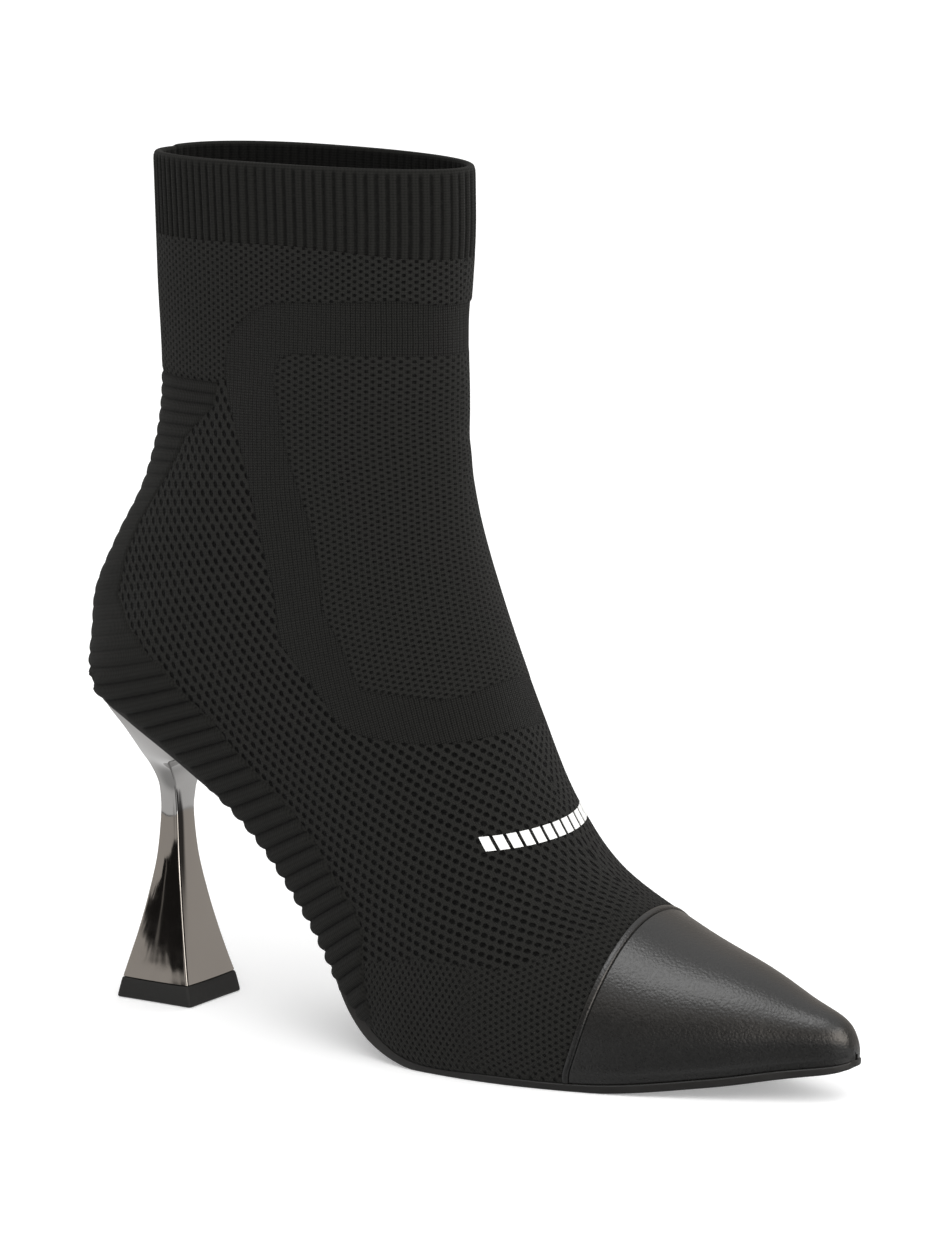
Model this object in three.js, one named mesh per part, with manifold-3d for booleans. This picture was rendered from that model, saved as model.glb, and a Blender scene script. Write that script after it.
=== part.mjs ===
// Knit ankle boot for the right foot: a hollow knit sock on a thin sole and a flared metal-plated heel.
// Millimetres, +X to the toe, +Y to the wearer's left (inner side), +Z up. The origin is the middle of the
// heel's ground face. Every section of the last runs from a low point on the sole or the back of the leg
// to a top point on the instep or the shin.
import * as THREE from "three";
import Module from "manifold-3d";
import { mergeVertices } from "three/addons/utils/BufferGeometryUtils.js";

const wasm = await Module();
wasm.setup();

// Driving sizes of the last and the leg.
const lastLength = 255;
const heelSetBack = 26.5; // the back of the last behind the middle of the heel
const heelRise = 83.5; // the heel seat above the ball of the foot
const instepRise = 60; // the instep above the ball
const legRise = 164; // the collar's rim above the heel seat
const ballWidth = 73;
const seatWidth = 61;
const collarWidth = 54;

// Walls, layers and what they cover.
const knitWall = 2;
const capThickness = 1.2;
const capLength = 77; // from the tip of the toe to the cap's lower back corner
const capLean = 10; // how far the cap's back edge leans to the shin over its height
const pipingWidth = 2.6;
const pipingRise = 0.7;
const randRise = 0.6; // the ribbed rand stands this far out of the plain knit
const ribDepth = 0.8;
const ribPitch = 5;
const lastingMargin = 4; // what turns in under the foot before the opening
const clearance = 0.3; // between pieces that touch

// Sole, insole and heel.
const treadThickness = 3.5;
const waistThickness = 2.2;
const treadFlat = 0.4; // ground off the tread so that it stands flat
const soleOverhang = 0.8;
const soleBevel = 0.9;
const insoleThickness = 2;
const heelTipLength = 26.8;
const heelTipWidth = 26.2;
const heelCorner = 0.9; // radius of the heel's upright edges at its waist
const topPieceHeight = 6;

// The side view, a row for each section. Along is a share of lastLength from the back of the last. Heights
// add up: lift is a share of heelRise, instep of instepRise and up of legRise, from the top of the tread.
const PROFILE_COLUMNS = ["lowAlong", "lowLift", "lowUp", "topAlong", "topLift", "topInstep", "topUp"];
const PROFILE = [
  [0.997, 0.125, 0, 0.994, 0.115, 0.02, 0],
  [0.989, 0.118, 0, 0.982, 0.06, 0.165, 0],
  [0.966, 0.104, 0, 0.966, 0.03, 0.275, 0],
  [0.918, 0.083, 0, 0.927, 0, 0.407, 0],
  [0.843, 0.043, 0, 0.868, 0, 0.512, 0],
  [0.736, 0.003, 0, 0.773, 0, 0.653, 0],
  [0.62, 0, 0, 0.664, 0, 0.893, 0],
  [0.51, 0.004, 0, 0.61, 0.18, 0.972, 0],
  [0.431, 0.118, 0, 0.575, 0.427, 1, 0],
  [0.362, 0.383, 0, 0.543, 0.669, 1, 0],
  [0.284, 0.643, 0, 0.518, 0.905, 0.95, 0.005],
  [0.195, 0.85, 0, 0.503, 1, 0.85, 0.077],
  [0.104, 1, 0, 0.495, 1, 0.7, 0.203],
  [0.043, 1.06, 0, 0.4925, 1, 0.58, 0.29],
  [0.012, 1, 0.063, 0.49, 1, 0.46, 0.368],
  [0.0015, 1, 0.124, 0.49, 1, 0.34, 0.453],
  [0.006, 1, 0.2, 0.49, 1, 0.22, 0.543],
  [0.036, 1, 0.295, 0.489, 1, 0.12, 0.635],
  [0.079, 1, 0.415, 0.489, 1, 0.05, 0.723],
  [0.103, 1, 0.565, 0.491, 1, 0, 0.8],
  [0.102, 1, 0.78, 0.494, 1, 0, 0.885],
  [0.101, 1, 0.998, 0.493, 1, 0, 0.99],
];

// The girth of the same sections. Lateral and medial are half widths and outerFeather and innerFeather the
// half widths of the flat bottom, as shares of the width there, which runs evenly from ball to seat to
// collar. Waist is the share of the height where the section is widest. Crown and foot are the powers of
// the curves above and below it, 2 for an ellipse. The shifts move the top and low points to the inner side,
// as shares of ballWidth. Rand is the share of the way round, from sole to top, that the rand covers.
const GIRTH_COLUMNS = [
  "lateral", "medial", "outerFeather", "innerFeather",
  "waist", "crown", "foot", "topShift", "lowShift", "rand",
];
const GIRTH = [
  [0.006, 0.006, 0.005, 0.005, 0.4, 2, 2, 0, 0.027, 0.15],
  [0.044, 0.044, 0.035, 0.035, 0.4, 2, 2, 0, 0.027, 0.15],
  [0.096, 0.096, 0.08, 0.08, 0.4, 2, 2, 0, 0.027, 0.15],
  [0.186, 0.173, 0.162, 0.148, 0.35, 2, 2, 0.003, 0.027, 0.15],
  [0.307, 0.271, 0.271, 0.237, 0.3, 2, 2, 0.014, 0.024, 0.15],
  [0.441, 0.386, 0.397, 0.344, 0.3, 2, 2, 0.027, 0.014, 0.15],
  [0.527, 0.473, 0.471, 0.418, 0.3, 2, 2, 0.024, 0, 0.15],
  [0.545, 0.496, 0.472, 0.415, 0.3, 2, 2.2, 0.01, -0.012, 0.15],
  [0.516, 0.487, 0.425, 0.351, 0.3, 2, 2.2, 0, -0.012, 0.45],
  [0.494, 0.487, 0.384, 0.322, 0.3, 2, 2.2, 0, -0.005, 0.44],
  [0.489, 0.489, 0.375, 0.352, 0.35, 2, 2.2, 0, 0, 0.4],
  [0.496, 0.496, 0.385, 0.375, 0.35, 2, 2.2, 0, 0, 0.4],
  [0.502, 0.502, 0.37, 0.37, 0.35, 2, 2.2, 0, 0, 0.41],
  [0.5, 0.5, 0.257, 0.257, 0.4, 2, 2.2, 0, 0, 0.405],
  [0.498, 0.498, 0.103, 0.103, 0.45, 2, 2.1, 0, 0, 0.38],
  [0.494, 0.494, 0.02, 0.02, 0.5, 2, 2, 0, 0, 0.35],
  [0.49, 0.49, 0.005, 0.005, 0.5, 2, 2, 0, 0, 0.35],
  [0.478, 0.478, 0.005, 0.005, 0.5, 2, 2, 0, 0, 0.36],
  [0.47, 0.47, 0.005, 0.005, 0.5, 2, 2, 0, 0, 0.39],
  [0.457, 0.457, 0.01, 0.01, 0.5, 2.1, 2.1, 0, 0, 0.15],
  [0.461, 0.461, 0.02, 0.02, 0.45, 2.2, 2.2, 0, 0, 0.15],
  [0.489, 0.489, 0.03, 0.03, 0.4, 2.2, 2.2, 0, 0, 0.15],
];

// Rows of the table where the width is a named one, and where a piece begins or ends.
const BALL_ROW = 6;
const SEAT_ROW = 12;
const RIM_ROW = PROFILE.length - 1;
const CAP_ROW = 5.3;
const TREAD_END_ROW = 7.6;
const WAIST_ROW = 10;
const HEEL_FRONT_ROW = 10.6;
const OPENING = { from: 2.4, to: 13.4 };
const INSOLE = { from: 2.7, to: 13.3 };
const SOLE_END_ROW = 13.85;
const RAND = { from: 7.5, to: 18.7 };

// Along each section the share 0 to 0.15 of the way round is flat, and the widest place is at 0.5.
const FLAT_SHARE = 0.15;
const WIDEST_SHARE = 0.5;

// The heel, a row for each level. Level is a share of the seat's height, front and back are shares of
// heelTipLength from the middle, frontWidth and backWidth are half widths as shares of heelTipWidth.
const HEEL_COLUMNS = ["level", "front", "back", "frontWidth", "backWidth"];
const HEEL = [
  [0, 0.5, 0.5, 0.5, 0.5],
  [0.069, 0.44, 0.44, 0.465, 0.465],
  [0.138, 0.38, 0.385, 0.415, 0.415],
  [0.23, 0.307, 0.31, 0.347, 0.347],
  [0.345, 0.228, 0.233, 0.272, 0.272],
  [0.483, 0.153, 0.158, 0.2, 0.2],
  [0.62, 0.116, 0.124, 0.168, 0.168],
  [0.69, 0.116, 0.116, 0.187, 0.18],
  [0.747, 0.134, 0.12, 0.245, 0.22],
  [0.805, 0.205, 0.16, 0.42, 0.305],
  [0.85, 0.373, 0.205, 0.706, 0.4],
  [0.885, 0.634, 0.25, 0.93, 0.46],
  [0.943, 0.82, 0.34, 1.05, 0.55],
  [1.01, 0.95, 0.51, 1.07, 0.61],
  [1.08, 1.1, 0.75, 1.07, 0.56],
  [1.15, 1.1, 0.95, 1.07, 0.5],
];

const clamp = (value, low, high) => Math.min(high, Math.max(low, value));
const lerp = (a, b, t) => a + (b - a) * t;
const smooth = (value, from, to) => {
  const t = clamp((value - from) / (to - from), 0, 1);
  return t * t * (3 - 2 * t);
};
const steps = (from, to, count) => Array.from({ length: count + 1 }, (_, k) => lerp(from, to, k / count));

// Places from one row to another at whole thirds of a row, so that pieces that fit together share them.
// Above the seat, where nothing fits inside, whole rows are enough.
function rowSteps(from, to) {
  const first = Math.ceil(from * 3 + 0.1);
  const last = Math.floor(to * 3 - 0.1);
  const thirds = steps(first, last, last - first).filter((k) => k % 3 === 0 || k < 3 * SOLE_END_ROW);
  return [from, ...thirds.map((k) => k / 3), to];
}

// A smooth curve through the rows of a table, read at a place u counted in rows.
function readTable(columns, rows, u) {
  const last = rows.length - 1;
  const i = clamp(Math.floor(u), 0, last - 1);
  const t = clamp(u, 0, last) - i;
  const row = {};
  columns.forEach((name, c) => {
    const b = rows[i][c];
    const d = rows[i + 1][c];
    const a = i > 0 ? rows[i - 1][c] : 2 * b - d;
    const e = i < last - 1 ? rows[i + 2][c] : 2 * d - b;
    const bend = 2 * a - 5 * b + 4 * d - e;
    const twist = 3 * b - a - 3 * d + e;
    row[name] = 0.5 * (2 * b + (d - a) * t + bend * t ** 2 + twist * t ** 3);
  });
  return row;
}

// Each row of the two tables in millimetres.
const SECTION_COLUMNS = [
  "lowX", "lowZ", "topX", "topZ", "lateral", "medial", "outerFeather", "innerFeather",
  "waist", "crown", "foot", "topShift", "lowShift", "rand",
];
const SECTIONS = PROFILE.map((profile, k) => {
  const p = Object.fromEntries(PROFILE_COLUMNS.map((name, c) => [name, profile[c]]));
  const g = Object.fromEntries(GIRTH_COLUMNS.map((name, c) => [name, GIRTH[k][c]]));
  const toSeat = clamp((k - BALL_ROW) / (SEAT_ROW - BALL_ROW), 0, 1);
  const toRim = clamp((k - SEAT_ROW) / (RIM_ROW - SEAT_ROW), 0, 1);
  const width = lerp(lerp(ballWidth, seatWidth, toSeat), collarWidth, toRim);
  return [
    p.lowAlong * lastLength - heelSetBack,
    treadThickness + p.lowLift * heelRise + p.lowUp * legRise,
    p.topAlong * lastLength - heelSetBack,
    treadThickness + p.topLift * heelRise + p.topInstep * instepRise + p.topUp * legRise,
    g.lateral * width, g.medial * width, g.outerFeather * width, g.innerFeather * width,
    g.waist, g.crown, g.foot, g.topShift * ballWidth, g.lowShift * ballWidth, g.rand,
  ];
});
const sectionAt = (u) => readTable(SECTION_COLUMNS, SECTIONS, u);

// A point of the last: u counts sections from the toe, share goes from the low point to the top point, and
// side is -1 on the outer side of the foot and 1 on the inner side.
function lastPoint(u, share, side) {
  const s = sectionAt(u);
  const half = side < 0 ? s.lateral : s.medial;
  const feather = side < 0 ? s.outerFeather : s.innerFeather;
  let up;
  let out;
  if (share <= FLAT_SHARE) {
    up = 0;
    out = (feather * share) / FLAT_SHARE;
  } else if (share <= WIDEST_SHARE) {
    const a = ((share - FLAT_SHARE) / (WIDEST_SHARE - FLAT_SHARE)) * (Math.PI / 2);
    up = s.waist * (1 - Math.max(0, Math.cos(a)) ** (2 / s.foot));
    out = feather + (half - feather) * Math.sin(a) ** (2 / s.foot);
  } else {
    const a = ((share - WIDEST_SHARE) / (1 - WIDEST_SHARE)) * (Math.PI / 2);
    up = s.waist + (1 - s.waist) * Math.sin(a) ** (2 / s.crown);
    out = half * Math.max(0, Math.cos(a)) ** (2 / s.crown);
  }
  return new THREE.Vector3(
    lerp(s.lowX, s.topX, up),
    side * out + lerp(s.lowShift, s.topShift, up),
    lerp(s.lowZ, s.topZ, up),
  );
}

// The outward normal of the last at a point.
function lastNormal(u, share, side) {
  const du = 0.05;
  const ds = 0.012;
  const next = lastPoint(Math.min(u + du, RIM_ROW), share, side);
  const along = next.sub(lastPoint(Math.max(u - du, 0), share, side));
  const low = share - ds;
  const high = share + ds;
  const before = low < 0 ? lastPoint(u, -low, -side) : lastPoint(u, low, side);
  const after = high > 1 ? lastPoint(u, 2 - high, -side) : lastPoint(u, high, side);
  const round = after.sub(before);
  return along.cross(round).multiplyScalar(side).normalize();
}

// The point moved out of the last by a height, or into it by a negative one.
const raised = (u, share, side, height) =>
  lastPoint(u, share, side).addScaledVector(lastNormal(u, share, side), height);

// A closed solid through loops of equally many points, with a fan over each end.
function loft(loops) {
  const count = loops[0].length;
  const positions = loops.flat().flatMap((p) => [p.x, p.y, p.z]);
  const index = [];
  for (let k = 0; k + 1 < loops.length; k++) {
    for (let j = 0; j < count; j++) {
      const a = k * count + j;
      const b = k * count + ((j + 1) % count);
      index.push(a, b, a + count, b, b + count, a + count);
    }
  }
  [0, loops.length - 1].forEach((k) => {
    const middle = loops[k].reduce((sum, p) => sum.add(p), new THREE.Vector3()).divideScalar(count);
    positions.push(middle.x, middle.y, middle.z);
    const centre = positions.length / 3 - 1;
    for (let j = 0; j < count; j++) {
      const a = k * count + j;
      const b = k * count + ((j + 1) % count);
      index.push(...(k === 0 ? [centre, b, a] : [centre, a, b]));
    }
  });
  const geometry = new THREE.BufferGeometry();
  geometry.setAttribute("position", new THREE.Float32BufferAttribute(positions, 3));
  geometry.setIndex(index);
  return solid(geometry);
}

// A three.js geometry as a solid for joins and cuts, and back again.
function solid(geometry) {
  geometry.deleteAttribute("normal");
  geometry.deleteAttribute("uv");
  const merged = mergeVertices(geometry, 1e-4);
  const made = new wasm.Manifold(
    new wasm.Mesh({
      numProp: 3,
      vertProperties: merged.attributes.position.array,
      triVerts: new Uint32Array(merged.index.array),
    }),
  );
  if (made.volume() >= 0) return made;
  const turned = merged.index.array.slice();
  for (let i = 0; i < turned.length; i += 3) [turned[i + 1], turned[i + 2]] = [turned[i + 2], turned[i + 1]];
  return new wasm.Manifold(
    new wasm.Mesh({
      numProp: 3,
      vertProperties: merged.attributes.position.array,
      triVerts: new Uint32Array(turned),
    }),
  );
}
const largest = (body) => body.decompose().sort((a, b) => b.volume() - a.volume())[0];
function meshOf(name, body, material) {
  const data = largest(body).getMesh();
  const geometry = new THREE.BufferGeometry();
  geometry.setAttribute("position", new THREE.BufferAttribute(data.vertProperties, 3));
  geometry.setIndex(new THREE.BufferAttribute(data.triVerts, 1));
  geometry.computeVertexNormals();
  const mesh = new THREE.Mesh(geometry, material);
  mesh.name = name;
  return mesh;
}

// A loop round the last from shares on one side: up the outer side, over the top and down the inner side.
const roundLoop = (shares, pointAt) => [
  ...shares.map((share) => pointAt(share, -1)),
  ...shares.slice(1, -1).reverse().map((share) => pointAt(share, 1)),
];

// Places along the boot: evenly spread rows, and two for each rib along the rand.
function knitRows() {
  const fine = steps(RAND.from, RAND.to, 220);
  const run = [0];
  for (let k = 1; k < fine.length; k++) {
    const step = raised(fine[k], 0.3, -1, 0).distanceTo(raised(fine[k - 1], 0.3, -1, 0));
    run.push(run[k - 1] + step);
  }
  const ribs = Math.round(run[run.length - 1] / ribPitch);
  const edges = steps(0, run[run.length - 1], 2 * ribs).map((length, k) => {
    const i = clamp(run.findIndex((r) => r > length) - 1, 0, run.length - 2);
    const at = length >= run[run.length - 1] ? 1 : (length - run[i]) / (run[i + 1] - run[i]);
    const base = length >= run[run.length - 1] ? run.length - 2 : i;
    return { u: lerp(fine[base], fine[base + 1], at), rib: k % 2 };
  });
  const toe = steps(0, RAND.from, 20).slice(0, -1);
  const leg = steps(RAND.to, RIM_ROW, 7).slice(1);
  return [...toe.map((u) => ({ u, rib: 0 })), ...edges, ...leg.map((u) => ({ u, rib: 0 }))];
}

// The outside of the knit: the last itself, with the ribbed rand raised out of it.
function knitOutside() {
  return loft(
    knitRows().map(({ u, rib }) => {
      const edge = Math.max(sectionAt(u).rand, FLAT_SHARE + 0.03);
      const present = smooth(edge, FLAT_SHARE + 0.03, FLAT_SHARE + 0.12);
      const plainFrom = edge + 0.02;
      const shares = [0, ...steps(FLAT_SHARE, edge, 3), ...steps(plainFrom, 1, 6)];
      return roundLoop(shares, (share, side) => {
        const inside = share > FLAT_SHARE && share <= edge + 0.001;
        const rise = present * (randRise + ribDepth * rib) * smooth(share, FLAT_SHARE, FLAT_SHARE + 0.1);
        return raised(u, share, side, inside ? rise : 0);
      });
    }),
  );
}

// The plain last raised or sunk all over by a height that may change along the boot. The bottom stays level
// with the feather line, or a little above it where the height is negative.
function plainForm(from, to, count, heightAt) {
  const shares = [0, ...steps(FLAT_SHARE, 1, 10)];
  return loft(
    steps(from, to, count).map((u) => {
      const height = heightAt(u);
      return roundLoop(shares, (share, side) => {
        const ramp = height > 0 ? smooth(share, FLAT_SHARE, FLAT_SHARE + 0.1) : 1;
        return raised(u, share, side, height * ramp);
      });
    }),
  );
}

// The hollow of a layer: the last sunk by a depth, with its bottom pushed out through the sole side inside
// the lasting margin, and its top run out above the rim.
function hollow(from, to, depthAt) {
  const sideShares = steps(FLAT_SHARE, 1, 9);
  const push = 3 * treadThickness;
  const loops = rowSteps(from, to).map((u) => {
    const depth = depthAt(u);
    const open = u > OPENING.from && u < OPENING.to;
    const levels = open ? [push, push, clearance, -depth] : [-depth, -depth, -depth, -depth];
    const under = levels.map((level, k) => ({ reach: Math.min(k, 1), level }));
    const pointUnder = ({ reach, level }, side) => {
      const feather = side < 0 ? sectionAt(u).outerFeather : sectionAt(u).innerFeather;
      const inset = Math.max(feather - lastingMargin, 0.4 * feather);
      return raised(u, (FLAT_SHARE * reach * inset) / feather, side, level);
    };
    const low = (side) => under.map((place) => pointUnder(place, side));
    const outer = sideShares.map((share) => raised(u, share, -1, -depth));
    const inner = sideShares.slice(0, -1).reverse().map((share) => raised(u, share, 1, -depth));
    return [...low(-1), ...outer, ...inner, ...low(1).slice(1).reverse()];
  });
  if (to < RIM_ROW) return loft(loops);
  const above = loops[loops.length - 1].map((p) => p.clone().setZ(p.z + push));
  return loft([...loops, above]);
}

// All that lies in front of the cap's back edge, moved back by a distance.
function capSpace(back) {
  const corner = lastLength - heelSetBack - capLength - back;
  const height = instepRise;
  const profile = new THREE.Shape();
  profile.moveTo(corner - 1, -treadThickness * 2);
  profile.lineTo(corner, treadThickness);
  profile.quadraticCurveTo(corner + capLean * 0.85, height * 0.35, corner + capLean, height * 0.72);
  profile.lineTo(corner + capLean, height * 1.5);
  profile.lineTo(corner + capLength * 1.5, height * 1.5);
  profile.lineTo(corner + capLength * 1.5, -treadThickness * 2);
  const across = { depth: ballWidth * 1.5, bevelEnabled: false, curveSegments: 8 };
  const geometry = new THREE.ExtrudeGeometry(profile, across);
  geometry.rotateX(Math.PI / 2);
  geometry.translate(0, ballWidth * 0.75, 0);
  return solid(geometry);
}

// Depth of the knit's inside: one wall, and under the cap the cap's own layer as well.
const capLayer = capThickness + clearance;
const knitDepth = (u) => knitWall + capLayer * (1 - smooth(u, CAP_ROW + 0.15, CAP_ROW + 0.55));

function knitUpper() {
  const behindCap = knitOutside().subtract(capSpace(clearance));
  const underCap = plainForm(0.9, CAP_ROW + 1.2, 13, () => -capLayer).intersect(capSpace(2 * clearance));
  return behindCap.add(underCap).subtract(hollow(1.7, RIM_ROW, knitDepth));
}

function toeCap() {
  const skin = plainForm(0, CAP_ROW + 1.2, 18, () => 0);
  const ring = plainForm(CAP_ROW - 1.5, CAP_ROW + 1.2, 9, () => pipingRise);
  const piping = ring.subtract(capSpace(-pipingWidth));
  const inside = hollow(0.7, CAP_ROW + 1.4, () => capThickness);
  return skin.add(piping).intersect(capSpace(0)).subtract(inside);
}

// The line under the feather: its point and the direction straight out of the sole.
function soleLine(u) {
  const s = sectionAt(u);
  const slope = new THREE.Vector2(
    sectionAt(u + 0.05).lowX - sectionAt(Math.max(u - 0.05, 0)).lowX,
    sectionAt(u + 0.05).lowZ - sectionAt(Math.max(u - 0.05, 0)).lowZ,
  ).normalize();
  return { x: s.lowX, z: s.lowZ, downX: -slope.y, downZ: slope.x, s };
}
const soleThickness = (u) => lerp(treadThickness, waistThickness, smooth(u, TREAD_END_ROW, WAIST_ROW));

// A point of the sole at a depth below the feather line. The tread is ground to the floor.
function soleEdge(u, depth, out, side) {
  const { x, z, downX, downZ, s } = soleLine(u);
  const feather = side < 0 ? s.outerFeather : s.innerFeather;
  const flat = treadFlat * smooth(depth, clearance, treadThickness);
  return new THREE.Vector3(
    x + downX * depth,
    side * (feather + out) + s.lowShift,
    Math.max(0, z + downZ * depth - flat),
  );
}

function outsole() {
  const loops = rowSteps(0, SOLE_END_ROW).map((u) => {
    const thick = soleThickness(u);
    const ring = [
      [clearance, soleOverhang],
      [thick - soleBevel * 0.6, soleOverhang],
      [thick, soleOverhang - soleBevel],
    ];
    const end = smooth(u, SOLE_END_ROW - 0.5, SOLE_END_ROW) * 1.2;
    return [
      ...ring.map(([depth, out]) => soleEdge(u, depth, out - end, -1)),
      ...ring.map(([depth, out]) => soleEdge(u, depth, out - end, 1)).reverse(),
    ];
  });
  const tip = loops[0].map((p) => new THREE.Vector3(p.x + soleOverhang, p.y * 0.4, p.z));
  return loft([tip, ...loops]);
}

function insole() {
  return loft(
    rowSteps(INSOLE.from, INSOLE.to).map((u) => {
      const { s } = soleLine(u);
      const reach = (side) => {
        const feather = side < 0 ? s.outerFeather : s.innerFeather;
        return Math.max(feather - lastingMargin, 0.4 * feather) - feather - clearance;
      };
      return [
        soleEdge(u, 0, reach(-1), -1),
        soleEdge(u, -insoleThickness, reach(-1), -1),
        soleEdge(u, -insoleThickness, reach(1), 1),
        soleEdge(u, 0, reach(1), 1),
      ];
    }),
  );
}

// The heel from one level to another, as four flat sides with rounded upright edges.
function heelForm(fromLevel, toLevel, count) {
  const last = HEEL.length - 1;
  const rowOf = (level) => {
    const i = clamp(HEEL.findIndex((row) => row[0] > level) - 1, 0, last - 1);
    const base = level >= HEEL[last][0] ? last - 1 : i;
    return base + (level - HEEL[base][0]) / (HEEL[base + 1][0] - HEEL[base][0]);
  };
  const seatHeight = treadThickness + heelRise;
  const corners = [
    [1, -1],
    [1, 1],
    [-1, 1],
    [-1, -1],
  ];
  return loft(
    steps(fromLevel / seatHeight, toLevel / seatHeight, count).map((level) => {
      const h = readTable(HEEL_COLUMNS, HEEL, rowOf(level));
      const outline = corners.map(
        ([front, side]) =>
          new THREE.Vector2(
            (front > 0 ? h.front : -h.back) * heelTipLength,
            side * (front > 0 ? h.frontWidth : h.backWidth) * heelTipWidth,
          ),
      );
      return outline.flatMap((corner, k) => {
        const before = outline[(k + 3) % 4].clone().sub(corner).normalize();
        const after = outline[(k + 1) % 4].clone().sub(corner).normalize();
        return [0, 0.5, 1].map((t) => {
          const start = corner.clone().addScaledVector(before, heelCorner);
          const end = corner.clone().addScaledVector(after, heelCorner);
          const p = start.lerp(end, t).lerp(corner, t === 0.5 ? 0.4 : 0);
          return new THREE.Vector3(p.x, p.y, level * seatHeight);
        });
      });
    }),
  );
}

// The space straight under the heel seat: its lid follows the underside of the sole.
function seatSpace() {
  const drop = 2 * (treadThickness + heelRise);
  return loft(
    steps(HEEL_FRONT_ROW, SOLE_END_ROW, 20).map((u) => {
      const depth = soleThickness(u) + treadFlat + clearance;
      const lid = [-1, 1].map((side) => soleEdge(u, depth, soleOverhang - soleBevel, side));
      const floor = lid.map((p) => p.clone().setZ(p.z - drop)).reverse();
      return [...lid, ...floor];
    }),
  );
}

function heel() {
  const top = HEEL[HEEL.length - 1][0] * (treadThickness + heelRise);
  return heelForm(topPieceHeight + clearance, top, 40).intersect(seatSpace());
}

const colour = (color, roughness, metalness) =>
  new THREE.MeshStandardMaterial({ color, roughness, metalness });
const knit = colour(0x242422, 0.95, 0);
const leather = colour(0x1a1918, 0.45, 0);
const soleBlack = colour(0x161616, 0.6, 0);
const lining = colour(0x1d1c1b, 0.8, 0);
const gunmetal = colour(0x5c5857, 0.12, 1);
const rubber = colour(0x141414, 0.85, 0);

const boot = new THREE.Group();
boot.name = "knit_ankle_boot";
boot.add(meshOf("knit_upper", knitUpper(), knit));
boot.add(meshOf("toe_cap", toeCap(), leather));
boot.add(meshOf("outsole", outsole(), soleBlack));
boot.add(meshOf("insole", insole(), lining));
boot.add(meshOf("heel", heel(), gunmetal));
boot.add(meshOf("heel_top_piece", heelForm(0, topPieceHeight, 3), rubber));
export default boot;
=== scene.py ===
"""Knit ankle boot for the right foot: the visible pieces, their finishes, the camera and the stage.

Lengths in the tables and in the shape functions are millimetres, in the frame of the part: +X to the toe,
+Y to the inner side of the foot, +Z up, with the origin under the middle of the heel.
"""
import math

import bmesh
import bpy
import numpy as np
from mathutils import Matrix, Vector


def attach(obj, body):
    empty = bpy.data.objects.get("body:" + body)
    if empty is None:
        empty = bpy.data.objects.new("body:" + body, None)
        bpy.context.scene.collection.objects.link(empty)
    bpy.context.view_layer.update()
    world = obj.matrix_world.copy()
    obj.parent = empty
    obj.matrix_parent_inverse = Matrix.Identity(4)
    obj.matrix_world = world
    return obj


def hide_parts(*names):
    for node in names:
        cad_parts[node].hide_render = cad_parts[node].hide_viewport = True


bl_info = {
    "name": "Knit Ankle Boot",
    "version": (1, 0, 0),
    "blender": (4, 5, 0),
    "location": "3D View > Sidebar > Boot",
    "description": "Knit ankle boot with a leather toe cap and a plated heel",
    "category": "Object",
}

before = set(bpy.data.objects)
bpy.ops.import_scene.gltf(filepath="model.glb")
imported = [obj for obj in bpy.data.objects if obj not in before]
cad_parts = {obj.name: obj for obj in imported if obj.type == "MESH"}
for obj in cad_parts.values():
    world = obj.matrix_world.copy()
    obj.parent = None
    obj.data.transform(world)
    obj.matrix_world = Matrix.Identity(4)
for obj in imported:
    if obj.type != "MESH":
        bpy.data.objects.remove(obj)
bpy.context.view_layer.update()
MM = 0.001

# The last, a row for each section from the toe to the rim. PROFILE has the low and the top point of the side
# view, as shares of the lengths below. GIRTH has half widths and half feather widths on the outer and inner
# side, the widest place as a share of the height, powers of the curve above and below it, and the sideways
# shift of the top and low points.
LAST_LENGTH, HEEL_SET_BACK, HEEL_RISE, INSTEP_RISE, LEG_RISE = 255, 26.5, 83.5, 60, 164
BALL_WIDTH, SEAT_WIDTH, COLLAR_WIDTH = 73, 61, 54
TREAD_THICKNESS, WAIST_THICKNESS = 3.5, 2.2
BALL_ROW, SEAT_ROW, RIM_ROW = 6, 12, 21
SOLE_END_ROW = 13.85
FLAT_SHARE = 0.15
LASTING_MARGIN = 4
LIP, TOE_THINNING = 1.5, 0.5
PROFILE = np.array([
    [0.988, 0.121, 0, 0.9885, 0.118, 0.05, 0],
    [0.984, 0.116, 0, 0.983, 0.06, 0.2, 0],
    [0.966, 0.104, 0, 0.968, 0.03, 0.3, 0],
    [0.918, 0.083, 0, 0.927, 0, 0.407, 0],
    [0.843, 0.043, 0, 0.868, 0, 0.512, 0],
    [0.736, 0.003, 0, 0.773, 0, 0.653, 0],
    [0.62, 0, 0, 0.664, 0, 0.893, 0],
    [0.51, 0.004, 0, 0.61, 0.18, 0.972, 0],
    [0.431, 0.118, 0, 0.575, 0.427, 1, 0],
    [0.362, 0.383, 0, 0.543, 0.669, 1, 0],
    [0.284, 0.643, 0, 0.518, 0.905, 0.95, 0.005],
    [0.195, 0.85, 0, 0.503, 1, 0.85, 0.077],
    [0.104, 1, 0, 0.495, 1, 0.7, 0.203],
    [0.043, 1.06, 0, 0.4925, 1, 0.58, 0.29],
    [0.012, 1, 0.063, 0.49, 1, 0.46, 0.368],
    [0.0015, 1, 0.124, 0.49, 1, 0.34, 0.453],
    [0.006, 1, 0.2, 0.49, 1, 0.22, 0.543],
    [0.036, 1, 0.295, 0.489, 1, 0.12, 0.635],
    [0.079, 1, 0.415, 0.489, 1, 0.05, 0.723],
    [0.103, 1, 0.565, 0.491, 1, 0, 0.8],
    [0.102, 1, 0.78, 0.494, 1, 0, 0.885],
    [0.101, 1, 0.998, 0.493, 1, 0, 0.99],
])
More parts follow.
